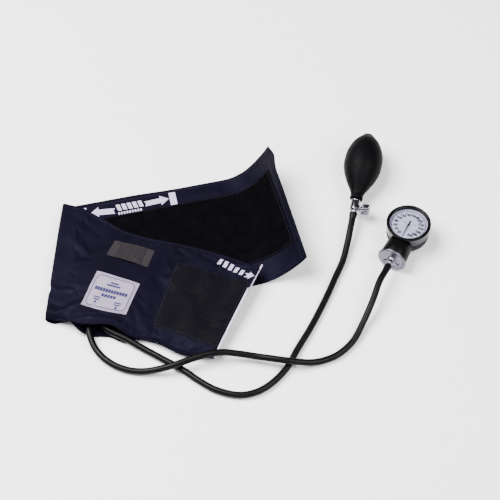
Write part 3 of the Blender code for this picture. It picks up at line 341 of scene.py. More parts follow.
HOSE_RUBBER = rubber_look("hose_rubber", (0.0011, 0.0010, 0.0013), 0.32, 0.44, 0.5, 0.09)
BULB_RUBBER = rubber_look("bulb_rubber", (0.0010, 0.0009, 0.0013), 0.46, 0.6, 0.7, 0.04)
INNER_RUBBER = rubber_look("inner_rubber", (0.015, 0.015, 0.016), 0.6, 0.8, 0.9)
CHROME = metal_look("chrome_plate", (0.22, 0.21, 0.25), 0.07, 0.18)
# Chrome band: real chrome plate whose base colour is painted far darker than the chrome plate's, a painted
# dark reflection of its surroundings
BAND_CHROME_PAINTED_DARK = metal_look("band_chrome_painted_dark", (0.030, 0.028, 0.036), 0.08, 0.2)
NICKEL = metal_look("nickel_plate", (0.15, 0.14, 0.175), 0.24, 0.36, 0.8)
STEEL = metal_look("bright_steel", (0.56, 0.56, 0.58), 0.2, 0.35)
BRASS = metal_look("machined_brass", (0.62, 0.45, 0.19), 0.22, 0.36, 0.8, (1, 6, 1))
BLACK_CASE = enamel_look("black_lacquer", (0.0011, 0.0010, 0.0013), 0.36, 0.07, 0.01)
DIAL_WHITE = enamel_look("dial_enamel", (0.28, 0.275, 0.39), 0.5)
LENS = lens_look()


# ----- mesh helpers

def new_object(name, data):
    """A new object in the scene."""
    obj = bpy.data.objects.new(name, data)
    bpy.context.collection.objects.link(obj)
    return obj


def new_mesh(name, bm, scale=MM):
    """A new object from a bmesh, in millimetres unless a scale says otherwise."""
    bmesh.ops.scale(bm, vec=(scale, scale, scale), verts=bm.verts)
    mesh = bpy.data.meshes.new(name)
    bm.to_mesh(mesh)
    bm.free()
    return new_object(name, mesh)


def evaluated(obj):
    """The object with its modifiers applied."""
    return obj.evaluated_get(bpy.context.evaluated_depsgraph_get())


def smooth(mesh):
    """Smooth shading with the sharp edges kept."""
    mesh.shade_smooth()
    mesh.set_sharp_from_angle(angle=SHARP_ANGLE)


def add_piece(name, bm, look, body=ROOT, recalc=True):
    """Turn a bmesh in millimetres into a smooth piece that rides on a body."""
    if recalc:
        bmesh.ops.recalc_face_normals(bm, faces=bm.faces)
    obj = new_mesh(name, bm)
    smooth(obj.data)
    obj.data.materials.append(look)
    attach(obj, body)
    return obj


def hermite(x, knots):
    """Smooth value at x of the curve through the (x, value) knots, flat outside them."""
    if x <= knots[0][0]:
        return knots[0][1]
    if x >= knots[-1][0]:
        return knots[-1][1]
    index = max(i for i in range(len(knots) - 1) if knots[i][0] <= x)
    slopes = []
    for i in (index, index + 1):
        before, after = knots[max(i - 1, 0)], knots[min(i + 1, len(knots) - 1)]
        slopes.append((after[1] - before[1]) / (after[0] - before[0]))
    (x0, y0), (x1, y1) = knots[index], knots[index + 1]
    width = x1 - x0
    t = (x - x0) / width
    return ((2 * t**3 - 3 * t**2 + 1) * y0 + (t**3 - 2 * t**2 + t) * width * slopes[0]
            + (3 * t**2 - 2 * t**3) * y1 + (t**3 - t**2) * width * slopes[1])


def smooth_route(points, step):
    """Points about a step apart along the smooth curve through the given points."""
    points = [Vector(p) for p in points]
    lengths = [0.0]
    for a, b in zip(points, points[1:]):
        lengths.append(lengths[-1] + (b - a).length)
    knots = [[(at, p[axis]) for at, p in zip(lengths, points)] for axis in range(3)]
    count = round(lengths[-1] / step)
    stations = [lengths[-1] * k / count for k in range(count + 1)]
    return [Vector([hermite(at, axis) for axis in knots]) for at in stations]


def lerp(a, b, t):
    """Blend two numbers or vectors."""
    return a * (1 - t) + b * t


def clamp(x, low=0.0, high=1.0):
    """Keep x in a range."""
    return min(max(x, low), high)


def ease(t):
    """Smooth step from 0 to 1."""
    t = clamp(t)
    return t * t * (3 - 2 * t)


def rounded(profile, radius, steps=3):
    """Round the inner corners of an open (x, y) outline."""
    result = [profile[0]]
    for before, corner, after in zip(profile, profile[1:], profile[2:]):
        before, corner, after = Vector(before), Vector(corner), Vector(after)
        into, out = before - corner, after - corner
        reach = min(radius, into.length * 0.45, out.length * 0.45)
        start, end = corner + into.normalized() * reach, corner + out.normalized() * reach
        for k in range(steps + 1):
            t = k / steps
            result.append(tuple(start.lerp(corner, t).lerp(corner.lerp(end, t), t)))
    return result + [profile[-1]]


def turned(profile, place, along="Z", segments=96, closed=False, radius_change=None):
    """A surface turned from (station, radius) points about an axis of a placed frame."""
    bm = bmesh.new()
    rings = []
    for height, radius in profile:
        ring = []
        for k in range(1 if radius == 0 else segments):
            angle = 2 * math.pi * k / segments
            r = radius if radius_change is None else radius + radius_change(height, angle)
            side, up = r * math.cos(angle), r * math.sin(angle)
            spots = {"X": (height, side, up), "Y": (side, height, up), "Z": (side, up, height)}
            ring.append(bm.verts.new(place @ Vector(spots[along])))
        rings.append(ring)
    pairs = list(zip(rings, rings[1:])) + ([(rings[-1], rings[0])] if closed else [])
    for low, high in pairs:
        for k in range(segments):
            n = k + 1
            quad = (low[k % len(low)], low[n % len(low)], high[n % len(high)], high[k % len(high)])
            bm.faces.new([v for i, v in enumerate(quad) if v not in quad[:i]])
    return bm


def frame_at(origin, x, y, z):
    """Matrix of a frame from its origin and axes."""
    rotation = Matrix((x, y, z)).transposed().to_4x4()
    return Matrix.Translation(origin) @ rotation


def joint(name):
    """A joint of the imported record."""
    return next(j for j in frame["record"]["behaviour"]["joints"] if j["name"] == name)


def gauge_place():
    """The gauge's axes, from the pointer's joint and the push pin's axis."""
    z, y = Vector(joint("pointer_turn")["axis"]), Vector(joint("pin_push")["axis"])
    pivot = Vector(joint("pointer_turn")["pos_m"]) / MM
    return frame_at(pivot - z * POINTER_LEVEL, y.cross(z), y, z)


def bulb_place():
    """The bulb's axes, from the release screw's joint and the intake ball's travel."""
    x, y = Vector(joint("release_screw")["axis"]), -Vector(joint("intake_ball_travel")["axis"])
    pivot = Vector(joint("release_screw")["pos_m"]) / MM
    return frame_at(pivot - x * SCREW_LEVEL - y * SCREW_STATION, x, y, x.cross(y))


GAUGE, BULB = gauge_place(), bulb_place()


# ----- camera, light and floor

def set_camera():
    """Long-lens camera that looks down at the set."""
    angle = math.radians(VIEW_ANGLE)
    toward = Vector((0, -math.cos(angle), math.sin(angle)))
    data = bpy.data.cameras.new("main_camera")
    data.sensor_width = SENSOR_WIDTH
    data.lens = SENSOR_WIDTH * VIEW_DISTANCE / VIEW_WIDTH
    data.clip_end = 20
    camera = new_object("main_camera", data)
    camera.location = (VIEW_TARGET + toward * VIEW_DISTANCE) * MM
    camera.rotation_euler = (math.radians(90 - VIEW_ANGLE), 0, 0)
    bpy.context.scene.camera = camera


def set_lights():
    """Faint even surroundings and soft lamps that face the origin."""
    world = bpy.data.worlds.new("studio")
    world.use_nodes = True
    background = world.node_tree.nodes["Background"]
    background.inputs["Color"].default_value = (1.0, 1.0, 1.0, 1.0)
    background.inputs["Strength"].default_value = WORLD_STRENGTH
    bpy.context.scene.world = world

    for name, spot, size, power in LAMPS:
        lamp = bpy.data.lights.new(name, "AREA")
        lamp.size, lamp.energy = size, power
        light = new_object(name, lamp)
        light.location = spot
        light.rotation_euler = (Vector((0, 0, 0)) - Vector(spot)).to_track_quat("-Z", "Y").to_euler()


def set_floor():
    """Pale floor just under the set."""
    look = Look("pale_floor", (0.86, 0.86, 0.87), 0.35, Specular_IOR_Level=0.3)
    look.vary(look.noise(300), 0.99, 1.0)
    bm = bmesh.new()
    bmesh.ops.create_grid(bm, x_segments=2, y_segments=2, size=FLOOR_SIZE)
    floor = new_mesh("floor", bm, 1.0)
    floor.data.materials.append(look.material)
    floor.location.z = -FLOOR_DROP


# ----- hoses

def add_hose(name, node, route, end):
    """A hose along its smooth route, up to the sleeve that its far end is stretched into."""
    points = [Vector(p) - LAYOUT_CENTRE for p in route] + end
    spots = smooth_route(points, HOSE_STEP)
    curve = bpy.data.curves.new(name, "CURVE")
    curve.dimensions = "3D"
    curve.bevel_depth = HOSE_RADIUS * MM
    curve.bevel_resolution = 6
    curve.use_fill_caps = True
    spline = curve.splines.new("POLY")
    spline.points.add(len(spots) - 1)
    for point, spot in zip(spline.points, spots):
        point.co = (*(spot * MM), 1.0)
    spline.use_smooth = True
    curve.materials.append(HOSE_RUBBER)
    hose = new_object(name, curve)
    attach(hose, ROOT)
    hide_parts(node)


def build_hoses():
    """Both hoses with their stretched ends."""
    neck = GAUGE @ Matrix.Translation((0, 0, NECK_AXIS))
    parts = (("gauge_hose_line", "gauge_hose", GAUGE_HOSE_ROUTE, neck, GAUGE_SLEEVE, (14, 0)),
             ("bulb_hose_line", "bulb_hose", BULB_HOSE_ROUTE, BULB, BULB_SLEEVE, (12, 0)))
    for name, node, route, place, profile, back in parts:
        surface = turned(profile, place, "Y", 40, True)
        sleeve = add_piece(f"{node}_end", surface, HOSE_RUBBER)
        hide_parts(f"{node}_sleeve")
        end = [place @ Vector((0, profile[-1][0] - GAP - d, 0)) for d in back]
        add_hose(name, node, route, end)


# ----- cuff surfaces

def unit(angle):
    """Unit vector in plan."""
    return Vector((math.cos(math.radians(angle)), math.sin(math.radians(angle))))


FOLD_LINE = FOLD_TOP - FOLD_BOTTOM
FOLD_NORMAL_ANGLE = math.degrees(math.atan2(FOLD_LINE.y, FOLD_LINE.x)) - 90
LEG_ANGLE = 2 * FOLD_NORMAL_ANGLE - TAIL_ANGLE
TAIL = (unit(TAIL_ANGLE), unit(TAIL_ANGLE + 90))
LEG = (unit(LEG_ANGLE), unit(LEG_ANGLE + 90))

# Soft ridges and hollows of the front leg: from, to (along, across), half width, height
WRINKLES = (
    ((-172, -131), (-150, -124), 3.0, 0.9), ((-158, -160), (-134, -138), 3.2, 1.6),
    ((-150, -163), (-120, -149), 2.8, -1.5), ((-140, -158), (-112, -144), 2.6, 1.2),
    ((-172, -146), (-146, -146), 3.0, -0.9), ((-126, -156), (-78, -146), 6.0, 1.6),
    ((-120, -147), (-84, -139), 4.5, -0.9), ((-78, -140), (-44, -150), 6.0, -1.3),
    ((-66, -149), (-30, -143), 5.0, 0.8), ((-180, -60), (-150, -74), 7.0, 0.8),
    ((-192, -30), (-150, -44), 5.0, -0.6), ((-76, -36), (-60, -120), 6.0, -0.5),
    ((-60, -24), (-30, -30), 3.0, -0.5), ((-44, -22), (-36, -34), 2.0, 0.5),
    ((-74, -70), (-70, -120), 5.0, 0.6), ((4, -140), (20, -120), 5.0, 0.6),
    ((-10, -30), (16, -26), 3.5, 0.6))
# The same for the tail's inner face
TAIL_WRINKLES = (
    ((-60, 88), (-8, 82), 5.0, 0.5), ((2, 84), (40, 74), 5.0, -0.8), ((20, 96), (50, 70), 6.0, 0.9),
    ((30, -40), (60, -22), 5.0, -0.9), ((36, -46), (64, -36), 3.5, 0.7), ((0, -44), (40, -36), 4.0, 0.4))


def line_value(line, x):
    """Height of a straight line at x."""
    (x0, y0), (x1, y1) = line
    return y0 + (y1 - y0) * (x - x0) / (x1 - x0)


def leg_edges(along):
    """Bottom and top edges of the front leg at a station along it."""
    return (line_value(LEG_BOTTOM_LINE, along) + hermite(along, BOTTOM_WAVE),
            line_value(LEG_TOP_LINE, along) + hermite(along, TOP_WAVE))


def wrinkle_height(along, across, wrinkles):
    """Sum of the soft ridges at a point."""
    total = 0.0
    spot = Vector((along, across))
    for start, end, width, height in wrinkles:
        start, end = Vector(start), Vector(end)
        run = end - start
        t = clamp((spot - start).dot(run) / run.length_squared)
        gap = (spot - start - run * t).length / width
        if gap < 3:
            total += height * math.exp(-gap * gap)
    return total


def ripple(along, across, size):
    """Gentle unevenness of slack cloth, between about -1 and 1."""
    return noise.noise(Vector((along / size, across / size, 3.7))) * 2


def cover_height(along, across):
    """Height of the front leg's upper face, before its wrinkles."""
    bottom, top = leg_edges(along)
    v = clamp((across - bottom) / (top - bottom))
    edge = lerp(hermite(along, BOTTOM_HEIGHT), hermite(along, TOP_HEIGHT), v)
    return edge + CROWN * (4 * v * (1 - v)) ** 0.8


def leg_level(along, across):
    """Height of the front leg's upper face with its wrinkles."""
    return cover_height(along, across) + wrinkle_height(along, across, WRINKLES)


def tail_lift(along, across):
    """How far the tail's lower face is off the table."""
    v = (across - TAIL_BOTTOM) / (TAIL_TOP - TAIL_BOTTOM)
    return lerp(CURL_BOTTOM, CURL_TOP, v) * max(along - CURL_START, 0) ** CURL_POWER


def to_plan(axes, along, across):
    """Leg or tail coordinates to plan coordinates of the row frame."""
    return axes[0] * along + axes[1] * across - LAYOUT_CENTRE.xy


def raised(axes, along, across, z):
    """Point of the row frame at leg or tail coordinates and a height."""
    return to_plan(axes, along, across).to_3d() + Vector((0, 0, z))


def grid_mesh(columns, rows, spot, thickness=None):
    """A grid of spots; with a thickness, a closed sheet."""
    bm = bmesh.new()
    layers = []
    lifts = (0,) if thickness is None else (0, thickness)
    for lift in lifts:
        grid = []
        for j in range(rows + 1):
            line = [spot(i / columns, j / rows) + Vector((0, 0, lift)) for i in range(columns + 1)]
            grid.append([bm.verts.new(point) for point in line])
        layers.append(grid)
    for grid in layers:
        for j in range(rows):
            for i in range(columns):
                bm.faces.new((grid[j][i], grid[j][i + 1], grid[j + 1][i + 1], grid[j + 1][i]))
    if thickness is not None:
        low, high = layers
        rim = [(j, 0) for j in range(rows)] + [(rows, i) for i in range(columns)]
        rim += [(j, columns) for j in range(rows, 0, -1)] + [(0, i) for i in range(columns, 0, -1)]
        for (row, column), (next_row, next_column) in zip(rim, rim[1:] + rim[:1]):
            bm.faces.new((low[row][column], low[next_row][next_column], high[next_row][next_column],
                          high[row][column]))
    return bm


RAY_HEIGHT = 200.0


def height_over(obj):
    """A function that gives the height of an object's upper surface above a plan point."""
    depsgraph = bpy.context.evaluated_depsgraph_get()
    tree = BVHTree.FromObject(obj, depsgraph)

    def height(plan):
        above = Vector((plan.x, plan.y, RAY_HEIGHT)) * MM
        hit = tree.ray_cast(above, Vector((0, 0, -1)))[0]
        return None if hit is None else hit.z / MM

    return height


def on_surface(axes, height, lift):
    """A function that lays leg or tail coordinates on a surface, a little above it."""
    last = [10.0]       # the height last found, which stands in where nothing lies below a spot

    def spot(along, across, extra=0.0):
        plan = to_plan(axes, along, across)
        z = height(plan)
        last[0] = last[0] if z is None else z
        return Vector((plan.x, plan.y, last[0] + lift + extra))

    return spot


# ----- cuff fabric

LEG_COLUMNS, FOLD_COLUMNS, TAIL_COLUMNS, CUFF_ROWS = 150, 14, 90, 96
SHELL_COLUMNS = LEG_COLUMNS + FOLD_COLUMNS + TAIL_COLUMNS
SHELL_THICKNESS, TAPE_THICKNESS = 0.7, 0.5
TAIL_LEVEL = 0.4                # height of the outer nylon's middle where the tail lies flat
# Simulation of the front leg's cloth: its steps, how far it may move the cloth, and its settings
CLOTH_STEPS, CLOTH_REACH = 20, 1.1
CLOTH_SETTINGS = {
    "quality": 6, "mass": 0.15, "tension_stiffness": 20, "compression_stiffness": 20, "shear_stiffness": 10,
    "bending_stiffness": 0.6, "shrink_min": -0.012, "use_pressure": True, "uniform_pressure_force": 0.4,
    "vertex_group_mass": "pins"}
HEM_WIDTH, HEM_STITCH = 5.8, 4.4
LIP_REACH = 5.5                 # how far the lining shows beyond the cover at the pocket's mouth


def leg_spot(u, v, inset_end=0.0):
    """Plan coordinates along and across the front leg: u runs from its fold to its index edge."""
    start = lerp(LEG_BOTTOM_LINE[0][0], LEG_TOP_LINE[0][0], v) + FOLD_DEPTH
    end = lerp(LEG_BOTTOM_LINE[1][0], LEG_TOP_LINE[1][0], v) - inset_end
    along = lerp(start, end, u)
    bottom, top = leg_edges(along)
    return along, lerp(bottom + hermite(along, BOTTOM_TRIM), top + hermite(along, TOP_TRIM), v)


def shell_spot(u, v):
    """The outer nylon: from the index edge over the leg, round the fold and under the tail."""
    column = u * SHELL_COLUMNS
    if column <= LEG_COLUMNS:
        along, across = leg_spot(1 - column / LEG_COLUMNS, v)
        height = leg_level(along, across)
        height += 0.35 * ripple(along, across, 26) + edge_pucker(along, v)
        height -= edge_roll(v, along) + 0.9 * ease((column - LEG_COLUMNS + 10) / 10)
        return raised(LEG, along, across, height)
    if column < LEG_COLUMNS + FOLD_COLUMNS:
        return fold_spot((column - LEG_COLUMNS) / FOLD_COLUMNS, v)
    t = (column - LEG_COLUMNS - FOLD_COLUMNS) / TAIL_COLUMNS
    along, across = tail_spot(t, v)
    return raised(TAIL, along, across, tail_lift(along, across) + TAIL_LEVEL)


def edge_roll(v, along):
    """How much the cloth's edge turns down to its seam, except over the pocket's mouth."""
    open_mouth = ease((along + 146) / 14) * ease((-70 - along) / 14)
    bottom = 2.4 * math.exp(-((v / 0.03) ** 1.5)) * (1 - 0.6 * open_mouth) * (1 - 0.7 * ease(along / 20))
    return (bottom + 2.0 * math.exp(-(((1 - v) / 0.022) ** 1.5))) * ease((along + 190) / 40)


def edge_pucker(along, v):
    """Small gathers where the edge seams pull the cloth."""
    near = math.exp(-((1 - v) / 0.05) ** 2) + math.exp(-(v / 0.06) ** 2)
    return 0.3 * near * noise.noise(Vector((along / 5.5, 8.1, v * 4)))


def fold_spot(t, v):
    """The turn of cloth at the fold, from the leg's upper face down to the table."""
    top = shell_spot(LEG_COLUMNS / SHELL_COLUMNS, v)
    low = raised(TAIL, *tail_spot(0, v), TAIL_LEVEL)
    edge = (FOLD_BOTTOM + FOLD_SHIFT[0]).lerp(FOLD_TOP + FOLD_SHIFT[1], v) - LAYOUT_CENTRE.xy
    kink = 1.6 * math.exp(-((v - 0.24) / 0.03) ** 2)
    edge = Vector((edge.x + kink, edge.y, 0))
    drop = (0.5 - 0.5 * math.cos(math.pi * t)) ** 1.9
    base = lerp(top, low, t)
    base.z = lerp(top.z, low.z, drop)
    out = edge - Vector((base.x, base.y, 0))
    return base + out * math.sin(math.pi * t) ** 0.45


def tail_spot(t, v):
    """Coordinates along and across the tail, from beside the fold to the free end."""
    start = lerp(FOLD_BOTTOM.dot(TAIL[0]), FOLD_TOP.dot(TAIL[0]), v) + FOLD_DEPTH
    end = lerp(TAIL_END_BOTTOM, TAIL_END_TOP, v) + 2.4 * math.exp(-((v - 0.9) / 0.07) ** 2)
    along = lerp(start, end, t)
    trim = 1.8 * ease((along + 110) / 60) * ease((45 - along) / 30)
    return along, lerp(TAIL_BOTTOM, TAIL_TOP - trim, v)


def settle_cloth(obj, cap):
    """Let the front leg's cloth slacken and buckle a little between its pinned edges and the fold."""
    pins = obj.vertex_groups.new(name=CLOTH_SETTINGS["vertex_group_mass"])
    rest = [v.co.copy() for v in obj.data.vertices]
    for index in range(len(rest)):
        row, column = divmod(index, SHELL_COLUMNS + 1)
        edge = min(row, CUFF_ROWS - row, column) <= 2
        if edge or column > LEG_COLUMNS - 8:
            pins.add([index], 1.0, "REPLACE")
    cloth = obj.modifiers.new("settle", "CLOTH")
    for name, value in CLOTH_SETTINGS.items():
        setattr(cloth.settings, name, value)
    cloth.settings.effector_weights.gravity = 0.0
    scene = bpy.context.scene
    for step in range(1, CLOTH_STEPS + 1):
        scene.frame_set(step)
    moved = [v.co.copy() for v in evaluated(obj).data.vertices]
    obj.modifiers.remove(cloth)
    scene.frame_set(1)
    for vertex, start, end in zip(obj.data.vertices, rest, moved):
        shift = end - start
        vertex.co = start + shift * min(1.0, cap * MM / max(shift.length, 1e-9))


def thicken(obj, name, thickness):
    """Give a sheet its thickness, half to each side."""
    solid = obj.modifiers.new(name, "SOLIDIFY")
    solid.thickness = thickness * MM
    solid.offset = 0.0


def build_shell():
    """The outer nylon as one continuous sheet."""
    sheet = grid_mesh(SHELL_COLUMNS, CUFF_ROWS, shell_spot)
    shell = add_piece("cuff_outer_shell", sheet, NYLON_LEG, recalc=False)
    settle_cloth(shell, CLOTH_REACH)
    thicken(shell, "cloth_thickness", SHELL_THICKNESS)
    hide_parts("cuff_cover", "cuff_fold", "cuff_tail")
    return shell


def build_lining():
    """Inner nylon of the front leg: sewn to the cover round its edges, open over the pocket's mouth."""
    def spot(u, v):
        along, across = leg_spot(u, v)
        plan = LEG[0] * along + LEG[1] * across
        s, t = plan.dot(TAIL[0]), plan.dot(TAIL[1])
        base = 0.8 + ease((t - TAIL_BOTTOM + 16) / 14) * (3.4 + tail_lift(s, max(t, TAIL_BOTTOM)))
        mouth = ease((along + 140) / 34) * ease((-60 - along) / 14)
        rise = max(ease((v - 0.9) / 0.1), ease((u - 0.95) / 0.05), ease((0.1 - v) / 0.1) * (1 - mouth))
        seam = cover_height(along, across) - 2.8
        sag = 1 - ease(v / 0.3)
        height = lerp(base, max(seam, base), rise)
        return raised(LEG, along, across - LIP_REACH * mouth * sag, height)

    lining = add_piece("cuff_inner_lining", grid_mesh(110, 60, spot, 0.6), NYLON_LEG)
    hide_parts("cuff_lining")


def build_tail_face():
    """Inner nylon of the tail with a folded hem, and the loop pile sewn on it."""
    def spot(u, v):
        along, across = tail_spot(u, v)
        end = tail_spot(1, v)[0]
        height = tail_lift(along, across) + 1.0 + wrinkle_height(along, across, TAIL_WRINKLES)
        height += 0.18 * ripple(along, across, 22) * ease((along + 40) / 40)
        hem = 0.6 * ease((along - end + HEM_WIDTH) / 0.9)
        hem += 0.35 * max(ease(across - TAIL_TOP + 6), ease(TAIL_BOTTOM + 6 - across))
        rims = ((1 - u, 0.004), (1 - v, 0.008), (v, 0.008))
        edge = 0.9 * max(math.exp(-(gap / reach) ** 2) for gap, reach in rims)
        return raised(TAIL, along, across, height + hem - edge)

    face = add_piece("cuff_tail_face", grid_mesh(190, 110, spot, -0.5), NYLON_TAIL)

    surface = on_surface(TAIL, height_over(face), 0.25)

    def pile_spot(u, v):
        across = lerp(*PILE_SIDE, v)
        share = (across - TAIL_BOTTOM) / (TAIL_TOP - TAIL_BOTTOM)
        end = lerp(TAIL_END_BOTTOM, TAIL_END_TOP, share) - PILE_MARGIN
        along = lerp(PILE_START, end, u)
        border = ease(min(min(u, 1 - u) * 90, min(v, 1 - v) * 50))
        fuzz = 0.5 * noise.noise(Vector((along / 1.7, across / 1.7, 1.3)))
        return surface(along, across, (0.75 + fuzz) * border)

    pile = add_piece("loop_pile_face", grid_mesh(200, 100, pile_spot, -0.5), PILE)
    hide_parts("loop_pile_panel")
    return surface


def corner_blend(corners, u, v, sag=0.0):
    """Point of a four-cornered patch (bottom left, bottom right, top right, top left)."""
    bottom = Vector(corners[0]).lerp(Vector(corners[1]), u)
    top = Vector(corners[3]).lerp(Vector(corners[2]), u)
    spot = bottom.lerp(top, v)
    spot.y -= sag * 4 * u * (1 - u) * (1 - v)
    return spot


def patch(name, corners, surface, look, columns, rows, extra, thickness=-0.35, sag=0.0):
    """A sewn-on patch that follows the cloth beneath it; extra(u, v, along, across) raises it."""
    def spot(u, v):
        along, across = corner_blend(corners, u, v, sag)
        return surface(along, across, extra(u, v, along, across))

    return add_piece(name, grid_mesh(columns, rows, spot, thickness), look)


def build_patches(surface):
    """Hook tape, label and gauge strap on the front leg."""
    def hook_rows(u, v, along, across):
        border = ease(min(min(u, 1 - u) * 60, min(v, 1 - v) * 70))
        ribs = 0.22 * math.cos(2 * math.pi * along / 2.6) + 0.1 * noise.noise(Vector((along, across / 2, 0)))
        return (0.55 + ribs) * border

    hook = patch("hook_tape_face", HOOK_CORNERS, surface, HOOK_TAPE, 260, 90, hook_rows)
    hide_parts("hook_panel")

    def label_edge(u, v, along, across):
        return 0.3 + 0.25 * (1 - ease(min(u, 1 - u, v, 1 - v) * 22))

    label = patch("label_face", LABEL_CORNERS, surface, LABEL_CLOTH, 60, 54, label_edge,
                  sag=LABEL_SAG)
    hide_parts("cuff_label")

    def strap_ribs(u, v, along, across):
        sewn = max(ease((0.2 - u) / 0.03), ease((u - 0.8) / 0.03))
        ribs = 0.6 * math.cos(2 * math.pi * (u - 0.2) / 0.6 * 11)
        fine = 0.14 * math.cos(2 * math.pi * along / 1.1) * math.cos(2 * math.pi * across / 1.3)
        edge = ease(min(v, 1 - v) * 16)
        arch = 1.2 * ease(math.sin(math.pi * u) * 1.7 - 0.6)
        return 1.1 + arch * (1 - sewn) + (lerp(ribs, fine - 0.3, sewn) - 0.5) * edge * 0.9

    strap = patch("gauge_strap_webbing", STRAP_CORNERS, surface, WEBBING, 210, 40, strap_ribs,
                  thickness=-1.0)
    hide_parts("gauge_strap")


def build_index_strip():
    """White tape folded over the leg's index edge."""
    def spot(u, v):
        along, across = leg_spot(1, v * 1.03, STRIP_WIDTH * 0.75)
        angle = math.radians(-125 + 250 * u)
        wave = 0.25 * noise.noise(Vector((v * 14, 0, 0)))
        width = lerp(1.5, 0.7, ease((v - 0.7) / 0.3))
        height = leg_level(along, across) - 1.2 + 1.13 * width * math.sin(angle)
        return raised(LEG, along + STRIP_WIDTH - width * (1 - math.cos(angle)) + wave, across, height)

    strip = add_piece("index_edge_tape", grid_mesh(14, 110, spot), EDGE_TAPE, recalc=False)
    thicken(strip, "tape_thickness", TAPE_THICKNESS)
    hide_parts("index_strip")


# ----- printing and stitching: plain marks stand in for the printed words

def outline_mesh(outlines, surface, cell=2.0):
    """Flat shapes laid on a surface, cut finely enough to follow it."""
    bm = bmesh.new()
    for outline in outlines:
        bm.faces.new([bm.verts.new((x, y, 0)) for x, y in outline])
    bm.normal_update()
    bmesh.ops.triangulate(bm, faces=bm.faces)
    for _ in range(4):
        long_edges = [e for e in bm.edges if e.calc_length() > cell]
        if not long_edges:
            break
        bmesh.ops.subdivide_edges(bm, edges=long_edges, cuts=1)
        bmesh.ops.triangulate(bm, faces=[f for f in bm.faces if len(f.verts) > 3])
    bm.normal_update()
    for face in bm.faces:
        if face.normal.z < 0:
            face.normal_flip()
    for vertex in bm.verts:
        vertex.co = surface(vertex.co.x, vertex.co.y)
    return bm


def bar(x0, y0, x1, y1, width):
    """A straight bar as an outline."""
    start, end = Vector((x0, y0)), Vector((x1, y1))
    side = (end - start).normalized()
    side = Vector((-side.y, side.x)) * width / 2
    return [tuple(start - side), tuple(end - side), tuple(end + side), tuple(start + side)]


def level_bar(x, y, length, width):
    """A level bar about its centre."""
    return bar(x - length / 2, y, x + length / 2, y, width)


def arrow(tail, tip, shaft, head_width, head_length, notch=0.0):
    """A straight arrow as an outline."""
    tail, tip = Vector(tail), Vector(tip)
    run = (tip - tail).normalized()
    side = Vector((-run.y, run.x))
    neck = tip - run * head_length
    points = (tail - side * shaft / 2, neck - side * shaft / 2, neck - side * head_width / 2, tip,
              neck + side * head_width / 2, neck + side * shaft / 2, tail + side * shaft / 2,
              tail + run * notch)
    return [tuple(p) for p in points]


def rounded_ring(width, height, inset, corner, line):
    """A thin rounded frame line inside a rectangle, as a row of short bars."""
    left, low = inset + corner, inset + corner
    right, high = width - left, height - low
    spots = []
    for x, y, start in ((right, high, 0), (left, high, 90), (left, low, 180), (right, low, 270)):
        for k in range(7):
            angle = math.radians(start + 90 * k / 6)
            spots.append((x + corner * math.cos(angle), y + corner * math.sin(angle)))
    return [bar(*a, *b, line) for a, b in zip(spots, spots[1:] + spots[:1])]


def slanted(x, y, width, height, lean=0.25):
    """A leaning block about its centre."""
    reach = height * lean / 2
    return [(x - width / 2 - reach, y - height / 2), (x + width / 2 - reach, y - height / 2),
            (x + width / 2 + reach, y + height / 2), (x - width / 2 + reach, y + height / 2)]


def print_index(surface):
    """Blocks and an arrow that point to the index edge."""
    marks = [slanted(-12.2 + 6.9 * k, -30.4 - 1.5 * k, 4.1, 7.9 - 0.1 * k, 0.12) for k in range(5)]
    marks.append(arrow((19.4, -38.8), (31.0, -38.6), 5.4, 10.0, 6.4, 3.6))
    add_piece("index_marks", outline_mesh(marks, surface), INK_WHITE, recalc=False)


def print_range(surface):
    """Blocks between two arrows and two bars, along the tail."""
    marks = [bar(-59.3, 77.0, -59.0, 93.8, 7.4), arrow((-91.5, 85.2), (-63.8, 86.4), 6.6, 13.0, 9.6, 1.6),
             arrow((-126.0, 83.4), (-153.2, 86.4), 7.4, 14.4, 9.0, 1.6), bar(-160.6, 78.0, -160.6, 94.5, 7.4)]
    marks += [slanted(-121.0 + 6.2 * k, 86.8, 4.4, 8.4, -0.2) for k in range(5)]
    marks += [level_bar(-122.0 + 3.1 * k, 78.8, 2.0, 3.2) for k in range(9)]
    add_piece("range_marks", outline_mesh(marks, surface), INK_WHITE, recalc=False)


def print_label(surface):
    """A thin frame with rows of bars and two small arrows inside."""
    width, height = LABEL_SIZE
    middle = width / 2
    marks = rounded_ring(width, height, 3.2, 5.0, 0.9)
    marks += [level_bar(middle - 17.25 + 3.1 * k, height - 20.4, 2.7, 4.4) for k in range(12)]
    marks += [level_bar(middle - 6.8 + 3.3 * k, height - 27.0, 2.8, 3.8) for k in range(5)]
    marks += [level_bar(middle, height - 13.0, 15.2, 2.0), level_bar(middle, height - 9.6, 8.8, 2.0)]
    for x, y in ((13.6, height - 31.0), (width - 12.6, height - 33.0)):
        marks += [level_bar(x, y, 7.6, 1.5), level_bar(x, y - 2.8, 6.4, 1.5)]
        marks.append(arrow((x, y - 4.2), (x, y - 8.6), 1.2, 3.8, 3.0))

    def on_label(x, y):
        return surface(*corner_blend(LABEL_CORNERS, x / width, y / height, LABEL_SAG))

    add_piece("label_print", outline_mesh(marks, on_label), INK_BLUE, recalc=False)


STITCH_LENGTH, STITCH_GAP, STITCH_RADIUS = 2.3, 0.9, 0.22
STITCH_SIDES = 6
PILE_SEAM = 1.6                         # how far inside the loop pile's rim its seam runs
MOUTH_START, MOUTH_END = -146, -66      # unsewn stretch of the leg's lower edge


def stitch_row(bm, path, surface):
    """Short raised stitches along a path of (along, across) corners."""
    for start, end in zip(path, path[1:]):
        start, end = Vector(start), Vector(end)
        count = round((end - start).length / (STITCH_LENGTH + STITCH_GAP))
        for k in range(count):
            a = surface(*start.lerp(end, (k + 0.14) / count))
            b = surface(*start.lerp(end, (k + 0.86) / count))
            add_stitch(bm, a, b)


